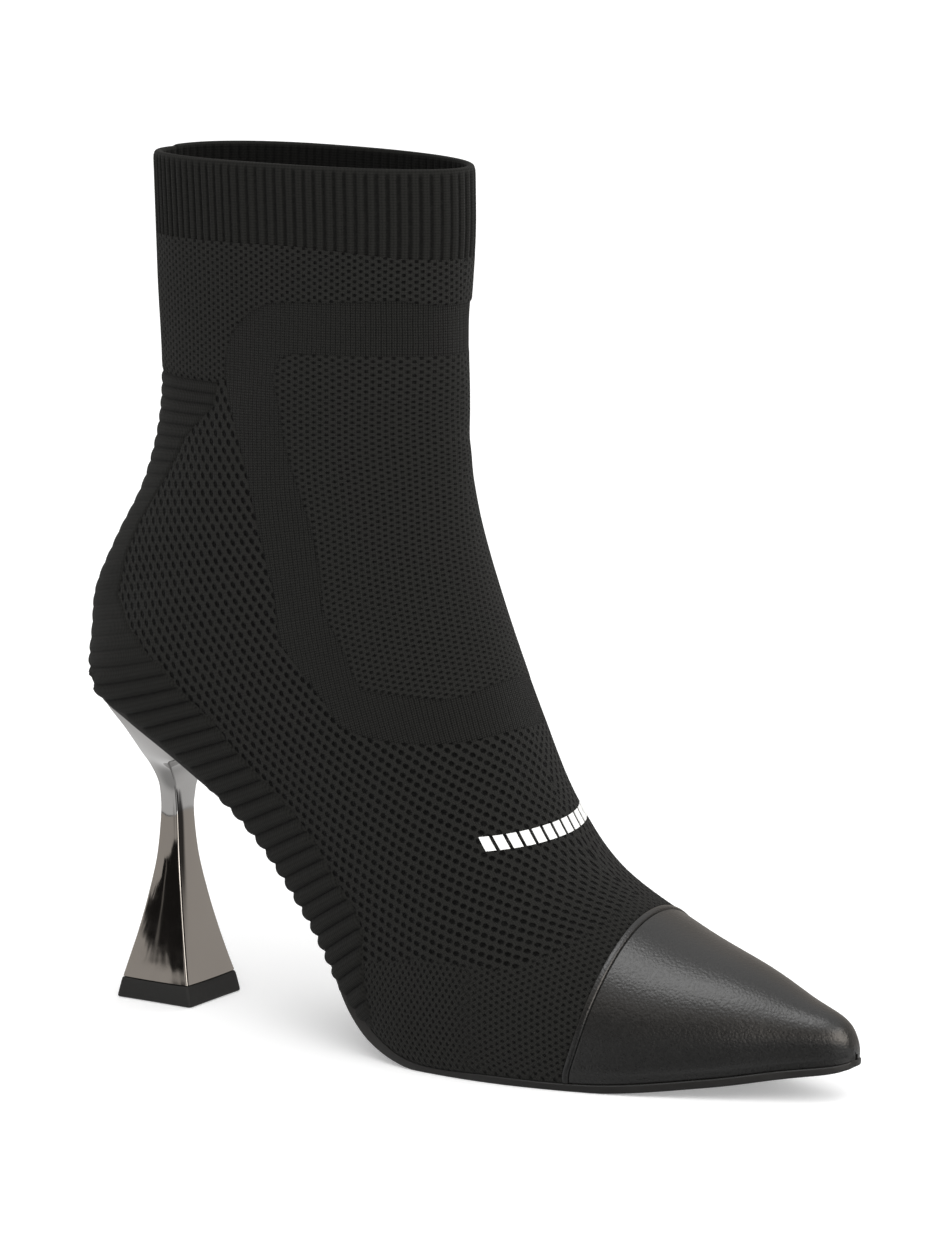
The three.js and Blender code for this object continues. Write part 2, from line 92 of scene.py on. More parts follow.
GIRTH = np.array([
    [0.022, 0.022, 0.018, 0.018, 0.4, 2, 2, 0, 0.024],
    [0.058, 0.056, 0.048, 0.046, 0.4, 2, 2, 0, 0.025],
    [0.105, 0.102, 0.09, 0.087, 0.4, 2, 2, 0, 0.026],
    [0.186, 0.173, 0.162, 0.148, 0.35, 2, 2, 0.003, 0.027],
    [0.307, 0.271, 0.271, 0.237, 0.3, 2, 2, 0.014, 0.024],
    [0.441, 0.386, 0.397, 0.344, 0.3, 2, 2, 0.027, 0.014],
    [0.527, 0.473, 0.471, 0.418, 0.3, 2, 2, 0.024, 0],
    [0.545, 0.496, 0.472, 0.415, 0.3, 2, 2.2, 0.01, -0.012],
    [0.516, 0.487, 0.425, 0.351, 0.3, 2, 2.2, 0, -0.012],
    [0.494, 0.487, 0.384, 0.322, 0.3, 2, 2.2, 0, -0.005],
    [0.489, 0.489, 0.375, 0.352, 0.35, 2, 2.2, 0, 0],
    [0.496, 0.496, 0.385, 0.375, 0.35, 2, 2.2, 0, 0],
    [0.502, 0.502, 0.37, 0.37, 0.35, 2, 2.2, 0, 0],
    [0.5, 0.5, 0.257, 0.257, 0.4, 2, 2.2, 0, 0],
    [0.498, 0.498, 0.103, 0.103, 0.45, 2, 2.1, 0, 0],
    [0.494, 0.494, 0.02, 0.02, 0.5, 2, 2, 0, 0],
    [0.49, 0.49, 0.005, 0.005, 0.5, 2, 2, 0, 0],
    [0.478, 0.478, 0.005, 0.005, 0.5, 2, 2, 0, 0],
    [0.47, 0.47, 0.005, 0.005, 0.5, 2, 2, 0, 0],
    [0.457, 0.457, 0.01, 0.01, 0.5, 2.1, 2.1, 0, 0],
    [0.461, 0.461, 0.02, 0.02, 0.45, 2.2, 2.2, 0, 0],
    [0.489, 0.489, 0.03, 0.03, 0.4, 2.2, 2.2, 0, 0],
])

# The heel, a row for each level: level as a share of the seat's height, front and back as shares of the
# ground face's length, half widths at front and back as shares of its width.
HEEL_LENGTH, HEEL_WIDTH, TOP_PIECE_HEIGHT = 26.8, 26.2, 6
HEEL_FRONT_ROW = 10.6
HEEL = np.array([
    [0, 0.5, 0.5, 0.5, 0.5],
    [0.069, 0.44, 0.44, 0.47, 0.47],
    [0.138, 0.38, 0.385, 0.415, 0.415],
    [0.23, 0.307, 0.31, 0.347, 0.347],
    [0.345, 0.228, 0.233, 0.272, 0.272],
    [0.483, 0.153, 0.158, 0.2, 0.2],
    [0.62, 0.116, 0.124, 0.168, 0.168],
    [0.69, 0.116, 0.116, 0.187, 0.18],
    [0.747, 0.134, 0.12, 0.245, 0.22],
    [0.805, 0.205, 0.16, 0.42, 0.305],
    [0.85, 0.373, 0.205, 0.706, 0.4],
    [0.885, 0.634, 0.25, 0.93, 0.46],
    [0.943, 0.82, 0.34, 1.05, 0.55],
    [1.01, 0.95, 0.51, 1.07, 0.61],
    [1.08, 1.1, 0.75, 1.07, 0.56],
    [1.15, 1.1, 0.95, 1.07, 0.5],
])

# Borders of the knit's fields in the side view, x and z of each corner.
SMOOTH_BAND = np.array([
    (51, 211), (70, 212), (88, 213), (96, 211.5), (140, 211), (140, 96), (121, 94), (114, 92), (104, 91),
    (95, 91), (86, 92), (78, 94), (72, 101), (64, 109), (57, 116), (54, 131), (51, 139), (48, 150),
    (45, 161), (41, 172), (37, 183), (35, 190), (36, 197), (38, 202), (44, 208),
])
FRONT_PANEL = np.array([
    (54, 195), (57, 197), (70, 197.5), (140, 197.5), (140, 110), (116, 107), (111, 104), (105, 103),
    (93, 104), (85, 104.5), (82, 107), (77, 116), (70, 126), (69, 134), (65, 148), (60, 162), (56, 173),
    (54, 184), (52, 190),
])
FOREFOOT = np.array([
    (86, -20), (90, 15), (89, 29), (108, 33), (123, 33), (138, 33), (150, 40), (156, 45), (158, 70),
    (260, 70), (260, -20),
])
LEG_FIELD_HEIGHT = 188

# The rand's upper edge: row, and share of the way round.
RAND_EDGE = np.array([
    (7.5, 0.2), (7.71, 0.31), (8.06, 0.41), (8.2, 0.46), (8.41, 0.47), (8.88, 0.45), (9.32, 0.44),
    (9.79, 0.41), (10.28, 0.39), (10.77, 0.39), (11.24, 0.4), (11.66, 0.4), (12.24, 0.41), (13.53, 0.4),
    (14.69, 0.36), (15.23, 0.34), (15.7, 0.35), (16.33, 0.35), (16.84, 0.35), (17.17, 0.36), (17.68, 0.37),
    (18.1, 0.38), (18.27, 0.405), (18.38, 0.43), (19.6, 0.43),
])
RAND_TOP = 1.5
COURSE_CENTRE = np.array([320, 186])
COURSE_RADIUS = 270


# The shape of the last.

def smooth(value, low, high):
    """0 below low and 1 above high, with an even curve between: 3 t squared less 2 t cubed."""
    t = np.clip((value - low) / (high - low), 0, 1)
    return t * t * (3 - 2 * t)


def read_table(rows, u):
    """Cubic curve through the rows of a table (each piece leaves and meets its rows along the line between
    the rows next to them), read at the places u, counted in rows."""
    last = len(rows) - 1
    u = np.clip(np.asarray(u, float), 0, last)
    i = np.clip(np.floor(u).astype(int), 0, last - 1)
    t = (u - i)[..., None]
    rows = np.vstack([2 * rows[0] - rows[1], rows, 2 * rows[-1] - rows[-2]])
    a, b, c, d = (rows[i + k] for k in range(4))
    return 0.5 * (2 * b + (c - a) * t + (2 * a - 5 * b + 4 * c - d) * t**2 + (3 * b - a - 3 * c + d) * t**3)


def last_sections():
    """The two tables in millimetres. The width runs evenly from ball to seat to collar."""
    k = np.arange(len(PROFILE))
    to_seat = np.clip((k - BALL_ROW) / (SEAT_ROW - BALL_ROW), 0, 1)
    to_rim = np.clip((k - SEAT_ROW) / (RIM_ROW - SEAT_ROW), 0, 1)
    width = BALL_WIDTH + (SEAT_WIDTH - BALL_WIDTH) * to_seat
    width = width + (COLLAR_WIDTH - width) * to_rim
    p, g = PROFILE.T, GIRTH.T
    return np.stack([
        p[0] * LAST_LENGTH - HEEL_SET_BACK,
        TREAD_THICKNESS + p[1] * HEEL_RISE + p[2] * LEG_RISE,
        p[3] * LAST_LENGTH - HEEL_SET_BACK,
        TREAD_THICKNESS + p[4] * HEEL_RISE + p[5] * INSTEP_RISE + p[6] * LEG_RISE,
        g[0] * width, g[1] * width, g[2] * width, g[3] * width,
        g[4], g[5], g[6], g[7] * BALL_WIDTH, g[8] * BALL_WIDTH,
    ], -1)


SECTIONS = last_sections()


def last_point(u, share, side):
    """Point of the last. Up to the flat share it runs level to the feather edge, up to half way round it
    follows a quarter of a superellipse out to the widest place, and then another one in to the top point.
    The point's place along the line from low to top point is its height on that curve."""
    share = np.abs(share)
    over = share > 1
    share = np.where(over, 2 - share, share)
    side = np.where(over, -side, side)
    s = np.moveaxis(read_table(SECTIONS, u), -1, 0)
    half = np.where(side < 0, s[4], s[5])
    feather = np.where(side < 0, s[6], s[7])
    waist, crown, foot = s[8], s[9], s[10]
    a = np.clip((share - FLAT_SHARE) / (0.5 - FLAT_SHARE), 0, 1) * np.pi / 2
    b = np.clip((share - 0.5) / 0.5, 0, 1) * np.pi / 2
    up = np.where(
        share < 0.5,
        waist * (1 - np.clip(np.cos(a), 0, 1) ** (2 / foot)),
        waist + (1 - waist) * np.sin(b) ** (2 / crown),
    )
    out = np.where(
        share < 0.5,
        feather * np.clip(share / FLAT_SHARE, 0, 1) + (half - feather) * np.sin(a) ** (2 / foot),
        half * np.clip(np.cos(b), 0, 1) ** (2 / crown),
    )
    x = s[0] + (s[2] - s[0]) * up
    y = side * out + s[12] + (s[11] - s[12]) * up
    z = s[1] + (s[3] - s[1]) * up
    return np.stack(np.broadcast_arrays(x, y, z), -1)


def last_normal(u, share, side):
    """Outward normal of the last: the cross product of the steps along it and round it."""
    along = last_point(np.minimum(u + 0.05, RIM_ROW), share, side)
    along = along - last_point(np.maximum(u - 0.05, 0), share, side)
    low = share - 0.012
    before = last_point(u, low, np.where(low < 0, -side, side))
    around = last_point(u, share + 0.012, side) - before
    normal = np.cross(along, around) * np.asarray(side)[..., None]
    return normal / np.linalg.norm(normal, axis=-1, keepdims=True)


def raised(u, share, side, height):
    """Point of the last, moved along its normal by a height."""
    height = np.asarray(height, float)[..., None]
    return last_point(u, share, side) + last_normal(u, share, side) * height


def lip_drop(u, share):
    """How far the upper's lower edge hangs under the feather line in front of the arch, in millimetres. It
    fades out up the side."""
    return LIP * (1 - smooth(u, 7, 7.9)) * (1 - smooth(share, FLAT_SHARE, 0.27))


def round_places(way):
    """Share and side of a place on the way round: 0 to 1 up the outer side, 1 to 2 down the inner side."""
    return 1 - np.abs(1 - way), np.where(way < 1, -1, 1)


def share_at(u, up):
    """Share of the way round at which a section reaches a height share, from the superellipse's inverse."""
    s = np.moveaxis(read_table(SECTIONS, u), -1, 0)
    waist, crown, foot = s[8], s[9], s[10]
    a = np.arccos(np.clip(1 - up / waist, 0, 1) ** (foot / 2))
    b = np.arcsin(np.clip((up - waist) / (1 - waist), 0, 1) ** (crown / 2))
    below = FLAT_SHARE + (0.5 - FLAT_SHARE) * a / (np.pi / 2)
    return np.where(up < waist, below, 0.5 + 0.5 * b / (np.pi / 2))


def height_share(u, share):
    """The height share of a place on the way round, 0 at the low point and 1 at the top point."""
    s = np.moveaxis(read_table(SECTIONS, u), -1, 0)
    p = last_point(u, share, -1)
    return np.clip((p[..., 0] - s[0]) / (s[2] - s[0]), 0, 1)


def row_where(test, low, high, shape):
    """Row at which test(u) falls through zero, for every element at once, by halving the span 40 times."""
    low = np.full(shape, float(low))
    high = np.full(shape, float(high))
    for _ in range(40):
        middle = (low + high) / 2
        ahead = test(middle) > 0
        low = np.where(ahead, middle, low)
        high = np.where(ahead, high, middle)
    return (low + high) / 2


def cap_edge_x(z):
    """Back edge of the toe cap in the side view: x for a height, leaning to the shin as it rises."""
    t = np.clip((z - TREAD_THICKNESS) / (43 - TREAD_THICKNESS), 0, 1.6)
    return 151.5 + 10 * (1.7 * t - 0.7 * t * t)


def collar_line_z(x):
    """Height of the collar's lower border, which drops a little at the shin."""
    return 226 - 3 * smooth(x, 55, 102)


# Distances and unrolled places.

def signed_distance(points, polygon):
    """Distance of side-view points from a closed polygon's border, positive inside it. It is the least
    distance to the border's pieces, with the sign from the number of pieces that a level ray crosses."""
    x, z = points[..., 0, None], points[..., 1, None]
    ax, az = polygon.T
    bx, bz = np.roll(polygon, -1, axis=0).T
    dx, dz = bx - ax, bz - az
    t = np.clip(((x - ax) * dx + (z - az) * dz) / (dx * dx + dz * dz), 0, 1)
    distance = np.hypot(x - ax - t * dx, z - az - t * dz).min(-1)
    crosses = ((az > z) != (bz > z)) & (x < ax + (z - az) * dx / np.where(dz == 0, 1, dz))
    return np.where(crosses.sum(-1) % 2 == 1, distance, -distance)


def lay_flat(rows, shares):
    """Side-view places with each section laid out flat from its middle: the length that the side view
    hides is added square to the top line or the low line."""
    u = np.linspace(0, RIM_ROW, rows)
    share = np.linspace(0, 1, shares)
    p = last_point(u[:, None], share[None, :], -1)
    step = np.linalg.norm(np.diff(p, axis=1), axis=-1)
    run = np.concatenate([np.zeros((rows, 1)), np.cumsum(step, axis=1)], axis=1)
    middle = (shares - 1) // 2
    away = p - p[:, middle, None]
    hidden = np.abs(run - run[:, middle, None]) - np.hypot(away[..., 0], away[..., 2])
    ahead = read_table(SECTIONS, np.minimum(u + 0.1, RIM_ROW)) - read_table(SECTIONS, np.maximum(u - 0.1, 0))
    low = np.stack([-ahead[:, 1], ahead[:, 0]], -1)
    top = np.stack([ahead[:, 3], -ahead[:, 2]], -1)
    toward = np.where(share[None, :, None] > 0.5, top[:, None], low[:, None])
    toward = toward / np.linalg.norm(toward, axis=-1, keepdims=True)
    return p[..., [0, 2]] + toward * np.maximum(hidden, 0)[..., None]


FLAT_PLACES = lay_flat(421, 97)


def unrolled(u, share):
    """Laid-out side-view place, read between the places of the table in both directions."""
    rows, shares = FLAT_PLACES.shape[:2]
    a = np.clip(u / RIM_ROW, 0, 1) * (rows - 1)
    b = np.clip(share, 0, 1) * (shares - 1)
    i = np.minimum(a.astype(int), rows - 2)
    j = np.minimum(b.astype(int), shares - 2)
    a, b = (a - i)[..., None], (b - j)[..., None]
    before = FLAT_PLACES[i, j] * (1 - b) + FLAT_PLACES[i, j + 1] * b
    after = FLAT_PLACES[i + 1, j] * (1 - b) + FLAT_PLACES[i + 1, j + 1] * b
    return before * (1 - a) + after * a


def courses(u, share):
    """Places on the knit's pattern. Below the centre the rows of stitches are straight lines from it, and
    above it they are level: across is the distance toward the centre, up the turn round it in millimetres
    at the pattern's radius, or the height."""
    flat = unrolled(u, share)
    away = COURSE_CENTRE - flat
    above = away[..., 1] < 0
    across = COURSE_RADIUS - np.where(above, away[..., 0], np.hypot(away[..., 0], away[..., 1]))
    up = np.where(above, -away[..., 1], -COURSE_RADIUS * np.arctan2(away[..., 1], away[..., 0]))
    return np.stack([across, up], -1)


# Meshes.

def slab(outer, inner, keep=None, closed=False):
    """Faces of a wall between two grids of points: the outer grid's cells, the inner grid's cells turned
    round, and a strip across the wall wherever a kept cell has no kept neighbour. The points come back as
    one list, outer ones first. A closed grid joins its last column to its first."""
    rows, columns = outer.shape[:2]
    number = np.arange(rows * columns).reshape(rows, columns)
    if closed:
        number = np.concatenate([number, number[:, :1]], axis=1)
    a, b, c, d = number[:-1, :-1], number[:-1, 1:], number[1:, 1:], number[1:, :-1]
    keep = np.ones(a.shape, bool) if keep is None else keep
    shift = rows * columns
    faces = [
        np.stack([a, b, c, d], -1)[keep],
        np.stack([a, d, c, b], -1)[keep] + shift,
    ]
    sides = np.pad(keep, 1)
    if closed:
        sides[:, 0] = sides[:, -2]
        sides[:, -1] = sides[:, 1]
    for p, q, beside in (
        (a, b, sides[:-2, 1:-1]), (b, c, sides[1:-1, 2:]), (c, d, sides[2:, 1:-1]), (d, a, sides[1:-1, :-2]),
    ):
        edge = keep & ~beside
        faces.append(np.stack([q, p, p + shift, q + shift], -1)[edge])
    points = np.concatenate([outer.reshape(-1, 3), inner.reshape(-1, 3)])
    return points, np.concatenate(faces)


def ring_faces(rows, columns, closed=False):
    """Faces between rings that follow each other, each ring joined to itself, and the last one to the first
    one if closed."""
    number = np.arange(rows * columns).reshape(rows, columns)
    if closed:
        number = np.concatenate([number, number[:1]])
    right = np.roll(number, -1, axis=1)
    return np.stack([number[:-1], right[:-1], right[1:], number[1:]], -1).reshape(-1, 4)


def capped(rings):
    """Rings with each end drawn together to its middle, so that they close a shape."""
    ends = [np.repeat(end.mean(axis=1, keepdims=True), end.shape[1], 1) for end in (rings[:1], rings[-1:])]
    return np.concatenate([ends[0], rings, ends[1]])


def volume(points, faces):
    """Six times the signed volume inside the faces: the sum of corner triple products of their halves."""
    a, b, c, d = (points[faces[:, k]] for k in range(4))
    return (np.cross(a, b) * c).sum() + (np.cross(a, c) * d).sum()


def make_piece(name, points, faces, materials, values=None, flat=None, sharp=40, weld=1e-5):
    """Mesh object at the origin from points in millimetres. Values are numbers for each point, kept as
    attributes, and flat holds each point's places on flat patterns in millimetres, kept as UV maps."""
    if volume(points, faces) < 0:
        faces = faces[:, ::-1]
    used, compact = np.unique(faces, return_inverse=True)
    faces = compact.reshape(faces.shape)
    points = points[used]
    mesh = bpy.data.meshes.new(name)
    mesh.from_pydata((points * MM).tolist(), [], faces.tolist())
    for label, numbers in (values or {}).items():
        attribute = mesh.attributes.new(label, "FLOAT", "POINT")
        attribute.data.foreach_set("value", np.ascontiguousarray(numbers[used], dtype=np.float32))
    corner = np.empty(len(mesh.loops), dtype=np.int32)
    mesh.loops.foreach_get("vertex_index", corner)
    for label, places in (flat or {}).items():
        layer = mesh.uv_layers.new(name=label)
        layer.uv.foreach_set("vector", (places[used][corner] * 0.01).astype(np.float32).ravel())
    shaped = bmesh.new()
    shaped.from_mesh(mesh)
    bmesh.ops.remove_doubles(shaped, verts=shaped.verts, dist=weld)
    shaped.to_mesh(mesh)
    shaped.free()
    mesh.polygons.foreach_set("use_smooth", np.ones(len(mesh.polygons), bool))
    mesh.set_sharp_from_angle(angle=math.radians(sharp))
    for material in materials:
        mesh.materials.append(material)
    piece = bpy.data.objects.new(name, mesh)
    bpy.context.scene.collection.objects.link(piece)
    return piece


def install(piece, slot, *nodes):
    """The piece rides on the body and stands for CAD nodes, which it hides. The slot is not used."""
    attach(piece, "root")
    if nodes:
        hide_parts(*nodes)


def in_mm(length):
    """A length property in millimetres."""
    return length / MM


# The pieces' shapes.

def knit_sock(sizes):
    """Outer and inner wall of the sock. The outer wall is the last itself, sunk under the toe cap and
    raised a little where the knit is thicker. It is open under the foot and at the collar."""
    wall = in_mm(sizes.knit_wall)
    way = np.linspace(0, 2, 133)[:-1]
    share, side = round_places(way)

    def under_collar(u):
        spot = last_point(u, share, side)
        return collar_line_z(spot[..., 0]) + 1.2 - spot[..., 2]

    top = row_where(under_collar, 18.5, 21, way.shape)
    base = np.concatenate([
        np.linspace(1.2, 5, 10)[:-1], np.linspace(5, 8, 46)[:-1], np.linspace(8, 14, 110)[:-1],
        np.linspace(14, 18, 70)[:-1],
    ])
    lift = np.linspace(0, 1, 56)
    u = np.concatenate([np.repeat(base[:, None], len(way), 1), 18 + lift[:, None] * (top - 18)[None, :]])
    edge = u * 0 + share
    side = u * 0 + side
    spot = last_point(u, edge, side)
    to_cap = spot[..., 0] - cap_edge_x(spot[..., 2])
    sink = -1.5 * smooth(to_cap, -0.1, 1.4)
    fields = knit_fields(spot)
    thick = 0.45 * smooth(fields["leg"], -0.6, 0.6) * smooth(-fields["band"], -0.6, 0.6)
    panel = 0.12 * smooth(fields["panel"], -0.6, 0.6)
    outer = raised(u, edge, side, sink + thick + panel)
    outer[..., 2] -= lip_drop(u, edge)
    inner = raised(u, edge, side, sink - wall)
    middle_u = (u[:-1] + u[1:]) / 2
    feather = read_table(SECTIONS, u[:, 0])[:, 6]
    inset = np.maximum(feather - LASTING_MARGIN, 0.4 * feather) / np.maximum(feather, 0.1) * FLAT_SHARE
    inset = ((inset[:-1] + inset[1:]) / 2)[:, None]
    widths = np.minimum(share, np.roll(share, -1))[None, :]
    beneath = (widths < inset) & (middle_u > 2.4) & (middle_u < 13.4)
    points, faces = slab(outer, inner, ~beneath, closed=True)
    # Distance from the back seam, which the finish uses for the seam's painted shade.
    fields["seam"] = np.where(u > 13.9, np.linalg.norm(spot - last_point(u, edge * 0, side), axis=-1), 99)
    values = {name: np.tile(grid.ravel(), 2) for name, grid in fields.items()}
    # Marks the inner wall, which the finish darkens as painted shade.
    values["inside"] = np.repeat([0.0, 1.0], u.size)
    flat = {"pattern": courses(u, edge), "level": unrolled(u, edge)}
    return points, faces, values, {name: np.tile(grid.reshape(-1, 2), (2, 1)) for name, grid in flat.items()}


def knit_fields(spot):
    """Signed distances in the side view from the borders of the knit's fields."""
    view = spot[..., [0, 2]]
    return {
        "band": signed_distance(view, SMOOTH_BAND),
        "panel": signed_distance(view, FRONT_PANEL),
        "fore": signed_distance(view, FOREFOOT),
        "leg": view[..., 1] - LEG_FIELD_HEIGHT,
    }


def rib_crest(phase, power=4):
    """Round-backed rib with a narrow groove at every whole number: 1 less a power of the distance from
    the rib's middle."""
    return 1 - np.abs(2 * (phase - np.floor(phase)) - 1) ** power


def rib_turns():
    """Places on the courses and the number of ribs up to each: one rib for each pitch, which grows from the
    heel's back to the arch."""
    up = np.linspace(-192, RAND_TOP, 900)
    pitch = np.clip(2.9 + 0.013 * np.abs(up), 2.9, 4.35)
    return up, np.concatenate([[0], np.cumsum(np.diff(up) / pitch[1:])])


def rand_ribs(sizes):
    """Ribbed rand along the sole and up the heel. The grid's rows are the ribs' own lines, which are courses
    of the knit, and its columns keep their share of the way from the lower edge to the upper one. The ribs
    are rounded off at the upper edge, at the front and at the top, and sink under the sole."""
    rise, depth = in_mm(sizes.rand_rise), in_mm(sizes.rand_rib_depth)
    near_edge = 1 - np.array([0.16, 0.13, 0.1, 0.075, 0.05, 0.03, 0.015, 0])
    line = np.concatenate([np.linspace(0, 0.24, 12)[:-1], np.linspace(0.24, 0.8, 15), near_edge])
    reach = np.concatenate([line[::-1], line])[None, :]
    side = np.where(np.arange(reach.size) < line.size, -1, 1)[None, :]

    def share_on(u):
        low = (FLAT_SHARE - 0.045) * (1 - smooth(u, 13.2, 13.8))
        return low + reach * (np.interp(u, *RAND_EDGE.T) - low)

    places, turns = rib_turns()
    phase = np.arange(0, turns[-1], 0.1)
    phase = (phase + turns[-1] - phase[-1])[:, None]
    target = np.interp(phase, turns, places)
    shape = (phase.size, reach.size)
    u = row_where(lambda u: target - courses(u, share_on(u))[..., 1], 7.5, 19.6, shape)
    share = share_on(u)
    side = side + 0 * share
    spot = last_point(u, share, side)
    span = np.minimum(
        np.linalg.norm(spot - spot[:, :1], axis=-1) + 99 * (side > 0),
        np.linalg.norm(spot - spot[:, -1:], axis=-1) + 99 * (side < 0),
    )
    span = np.minimum(span, RAND_TOP - target)
    around = smooth(u, 13.7, 14.5)
    side_wall = 0.5 + 0.5 * smooth(share, FLAT_SHARE, FLAT_SHARE + 0.09)
    under = around + (1 - around) * smooth(share, FLAT_SHARE - 0.03, FLAT_SHARE) * side_wall
    rounded = np.sqrt(1 - (1 - np.clip(span / 1.5, 0, 1)) ** 2) * smooth(u, 7.5, 7.9)
    crest = rib_crest(phase, 2.1)
    low = smooth(-target, 58, 80)
    top = smooth(target, -32, -18)
    share_of_depth = 0.2 + 0.12 * top + 0.8 * low
    height = (rise + depth * share_of_depth * crest) * under * rounded - 0.35 * (1 - rounded)
    outer = raised(u, share, side, height)
    inner = raised(u, share, side, np.full(shape, -0.9))
    points, faces = slab(outer, inner)
    values = {
        # Mask for the painted shade in the grooves between the ribs.
        "groove": np.tile(((1 - crest) * rounded * (0.35 + 0.65 * np.maximum(low, top))).ravel(), 2),
        # Marks the inner wall, which the finish darkens as painted shade.
        "inside": np.repeat([0.0, 1.0], u.size),
        # Distance from the back seam, which the finish uses for the seam's painted shade.
        "seam": np.tile(np.where(u > 13.9, np.abs(spot[..., 1]), 99).ravel(), 2),
    }
    flat = np.stack([phase * 4 + 0 * u, courses(u, share)[..., 0]], -1).reshape(-1, 2)
    return points, faces, values, {"pattern": np.tile(flat, (2, 1))}


def collar_cuff(sizes):
    """Ribbed collar: one closed profile, up the outside, over the rolled rim and down the inside, carried
    round the leg, with upright ribs on both faces."""
    ribs = sizes.collar_ribs
    depth = in_mm(sizes.collar_rib_depth)
    wall = in_mm(sizes.knit_wall)
    dense = np.linspace(0, 2, 801)
    share, side = round_places(dense)
    loop = last_point(np.full(dense.shape, 20.3), share, side)
    run = np.concatenate([[0], np.cumsum(np.linalg.norm(np.diff(loop, axis=0), axis=1))])
    count = ribs * 8
    turn = np.arange(count) / count
    way = np.interp(turn * run[-1], run, dense)
    share, side = round_places(way)
    rim_row = np.full(way.shape, 21.0)
    up = height_share(rim_row, share)
    upright = lambda u: np.where(share < FLAT_SHARE, share, share_at(u, up))
    rim = last_point(rim_row, share, side)
    low_z = collar_line_z(rim[:, 0])
    low_u = row_where(lambda u: low_z - last_point(u, upright(u), side)[..., 2], 18.5, 21, way.shape)
    band = rim[:, 2] - low_z
    crest = rib_crest(turn * ribs, 2)
    drop = np.concatenate([[1.06, 1.03], np.linspace(1.0, 0.06, 22)])
    roll = np.radians(np.linspace(0, 180, 13)[1:-1])
    inside = np.concatenate([np.linspace(0.06, 1.0, 20), [1.12]])
    radius = wall / 2
    below = np.concatenate([drop * band.mean(), 0.9 - 0.9 * np.sin(roll), inside * band.mean()])
    full = smooth(below, 0.3, 2.0) * smooth(band.mean() - below, -0.6, 0.9)
    outward = np.concatenate([np.full(len(drop), 0.12), -radius + (radius + 0.12) * np.cos(roll),
                              np.full(len(inside), -wall)])
    amplitude = np.concatenate([np.full(len(drop), depth), np.linspace(0.2, 0.1, len(roll)) * depth,
                                np.full(len(inside), -0.6 * depth)])
    base = np.where(below > band.mean() * 0.995, -0.35, 0)
    base[:len(drop)] = np.where(drop > 1.0, -0.5, base[:len(drop)])
    u = 21 - (21 - low_u)[None, :] * (below / band.mean())[:, None]
    offset = outward[:, None] + base[:, None] + (amplitude * full)[:, None] * (crest[None, :] - 0.45)
    grid_share = upright(u)
    grid_side = u * 0 + side
    points = raised(u, grid_share, grid_side, offset)
    arch = 0.9 * np.sin(np.pi * share) * (side > 0) * np.clip(1 - below / 20, 0, 1)[:, None]
    points[..., 2] += arch
    faces = ring_faces(*u.shape, closed=True)
    half = np.minimum(turn, 1 - turn) * run[-1]
    flat = np.stack([u * 0 + half[None, :], points[..., 2]], -1).reshape(-1, 2)
    edge = np.concatenate([np.zeros(len(drop) + len(roll)), np.ones(len(inside))])
    # Mask for the painted shade in the grooves between the ribs, weaker on the inner face.
    groove = smooth(1 - crest, 0.1, 0.55)[None, :] * (full * np.where(edge > 0, 0.8, 1))[:, None]
    values = {
        "groove": groove.ravel(),
        # Marks the inner face, which the finish darkens as painted shade.
        "inside": (u * 0 + edge[:, None]).ravel(),
        # Distance from the back seam, which the finish uses for the seam's painted shade.
        "seam": (u * 0 + half[None, :]).ravel(),
    }
    return points.reshape(-1, 3), faces, values, {"pattern": flat}


def toe_cap(sizes):
    """Leather cap: the last from its tip to the back edge, with a folded roll along that edge and a stitched
    groove in front of it, and a wall inside."""
    wall = in_mm(sizes.cap_thickness)
    width, rise = in_mm(sizes.piping_width), in_mm(sizes.piping_rise)
    share = np.concatenate([np.linspace(0.1, FLAT_SHARE, 3)[:-1], np.linspace(FLAT_SHARE, 1, 74)])
    way = np.concatenate([share, 2 - share[::-1][1:]])
    share, side = round_places(way)
    end = row_where(
        lambda u: last_point(u, share, side)[..., 0] - cap_edge_x(last_point(u, share, side)[..., 2]),
        4, 6.4, way.shape,
    )
    speed = np.linalg.norm(last_point(end, share, side) - last_point(end - 0.2, share, side), axis=-1) / 0.2
    near = np.array([0, 0.1, 0.3, 0.6, 1.0, 1.4, 1.8, 2.1, 2.35, 2.5, 2.6, 2.7, 2.85, 3.1, 3.6, 4.4])
    near = (near * width / 2.6)[::-1][:, None] / speed[None, :]
    start = end - near[0]
    body = np.linspace(0, 1, 96)[:-1] ** 1.25
    body = body[:, None] * start[None, :]
    u = np.concatenate([body, end[None, :] - near])
    gap = (end[None, :] - u) * speed[None, :] * 2.6 / width
    fold = np.sqrt(np.clip(1 - ((gap - 1.15) / 1.35) ** 2, 0, 1))
    groove = np.exp(-((gap - 2.6) / 0.2) ** 2)
    height = rise * fold - 0.3 * groove
    grid_share = u * 0 + share
    grid_side = u * 0 + side
    fade = smooth(grid_share, FLAT_SHARE - 0.02, FLAT_SHARE + 0.04)
    outer = raised(u, grid_share, grid_side, height * fade)
    outer[..., 2] -= lip_drop(u, grid_share)
    inner = raised(u, grid_share, grid_side, -np.minimum(wall, 0.1 + u * 0.9))
    outer[0] = outer[0].mean(0)
    inner[0] = inner[0].mean(0)
    points, faces = slab(outer, inner)
    values = {"edge": np.tile(np.minimum(gap, 99).ravel(), 2), "inside": np.repeat([0.0, 1.0], u.size)}
    return points, faces, values


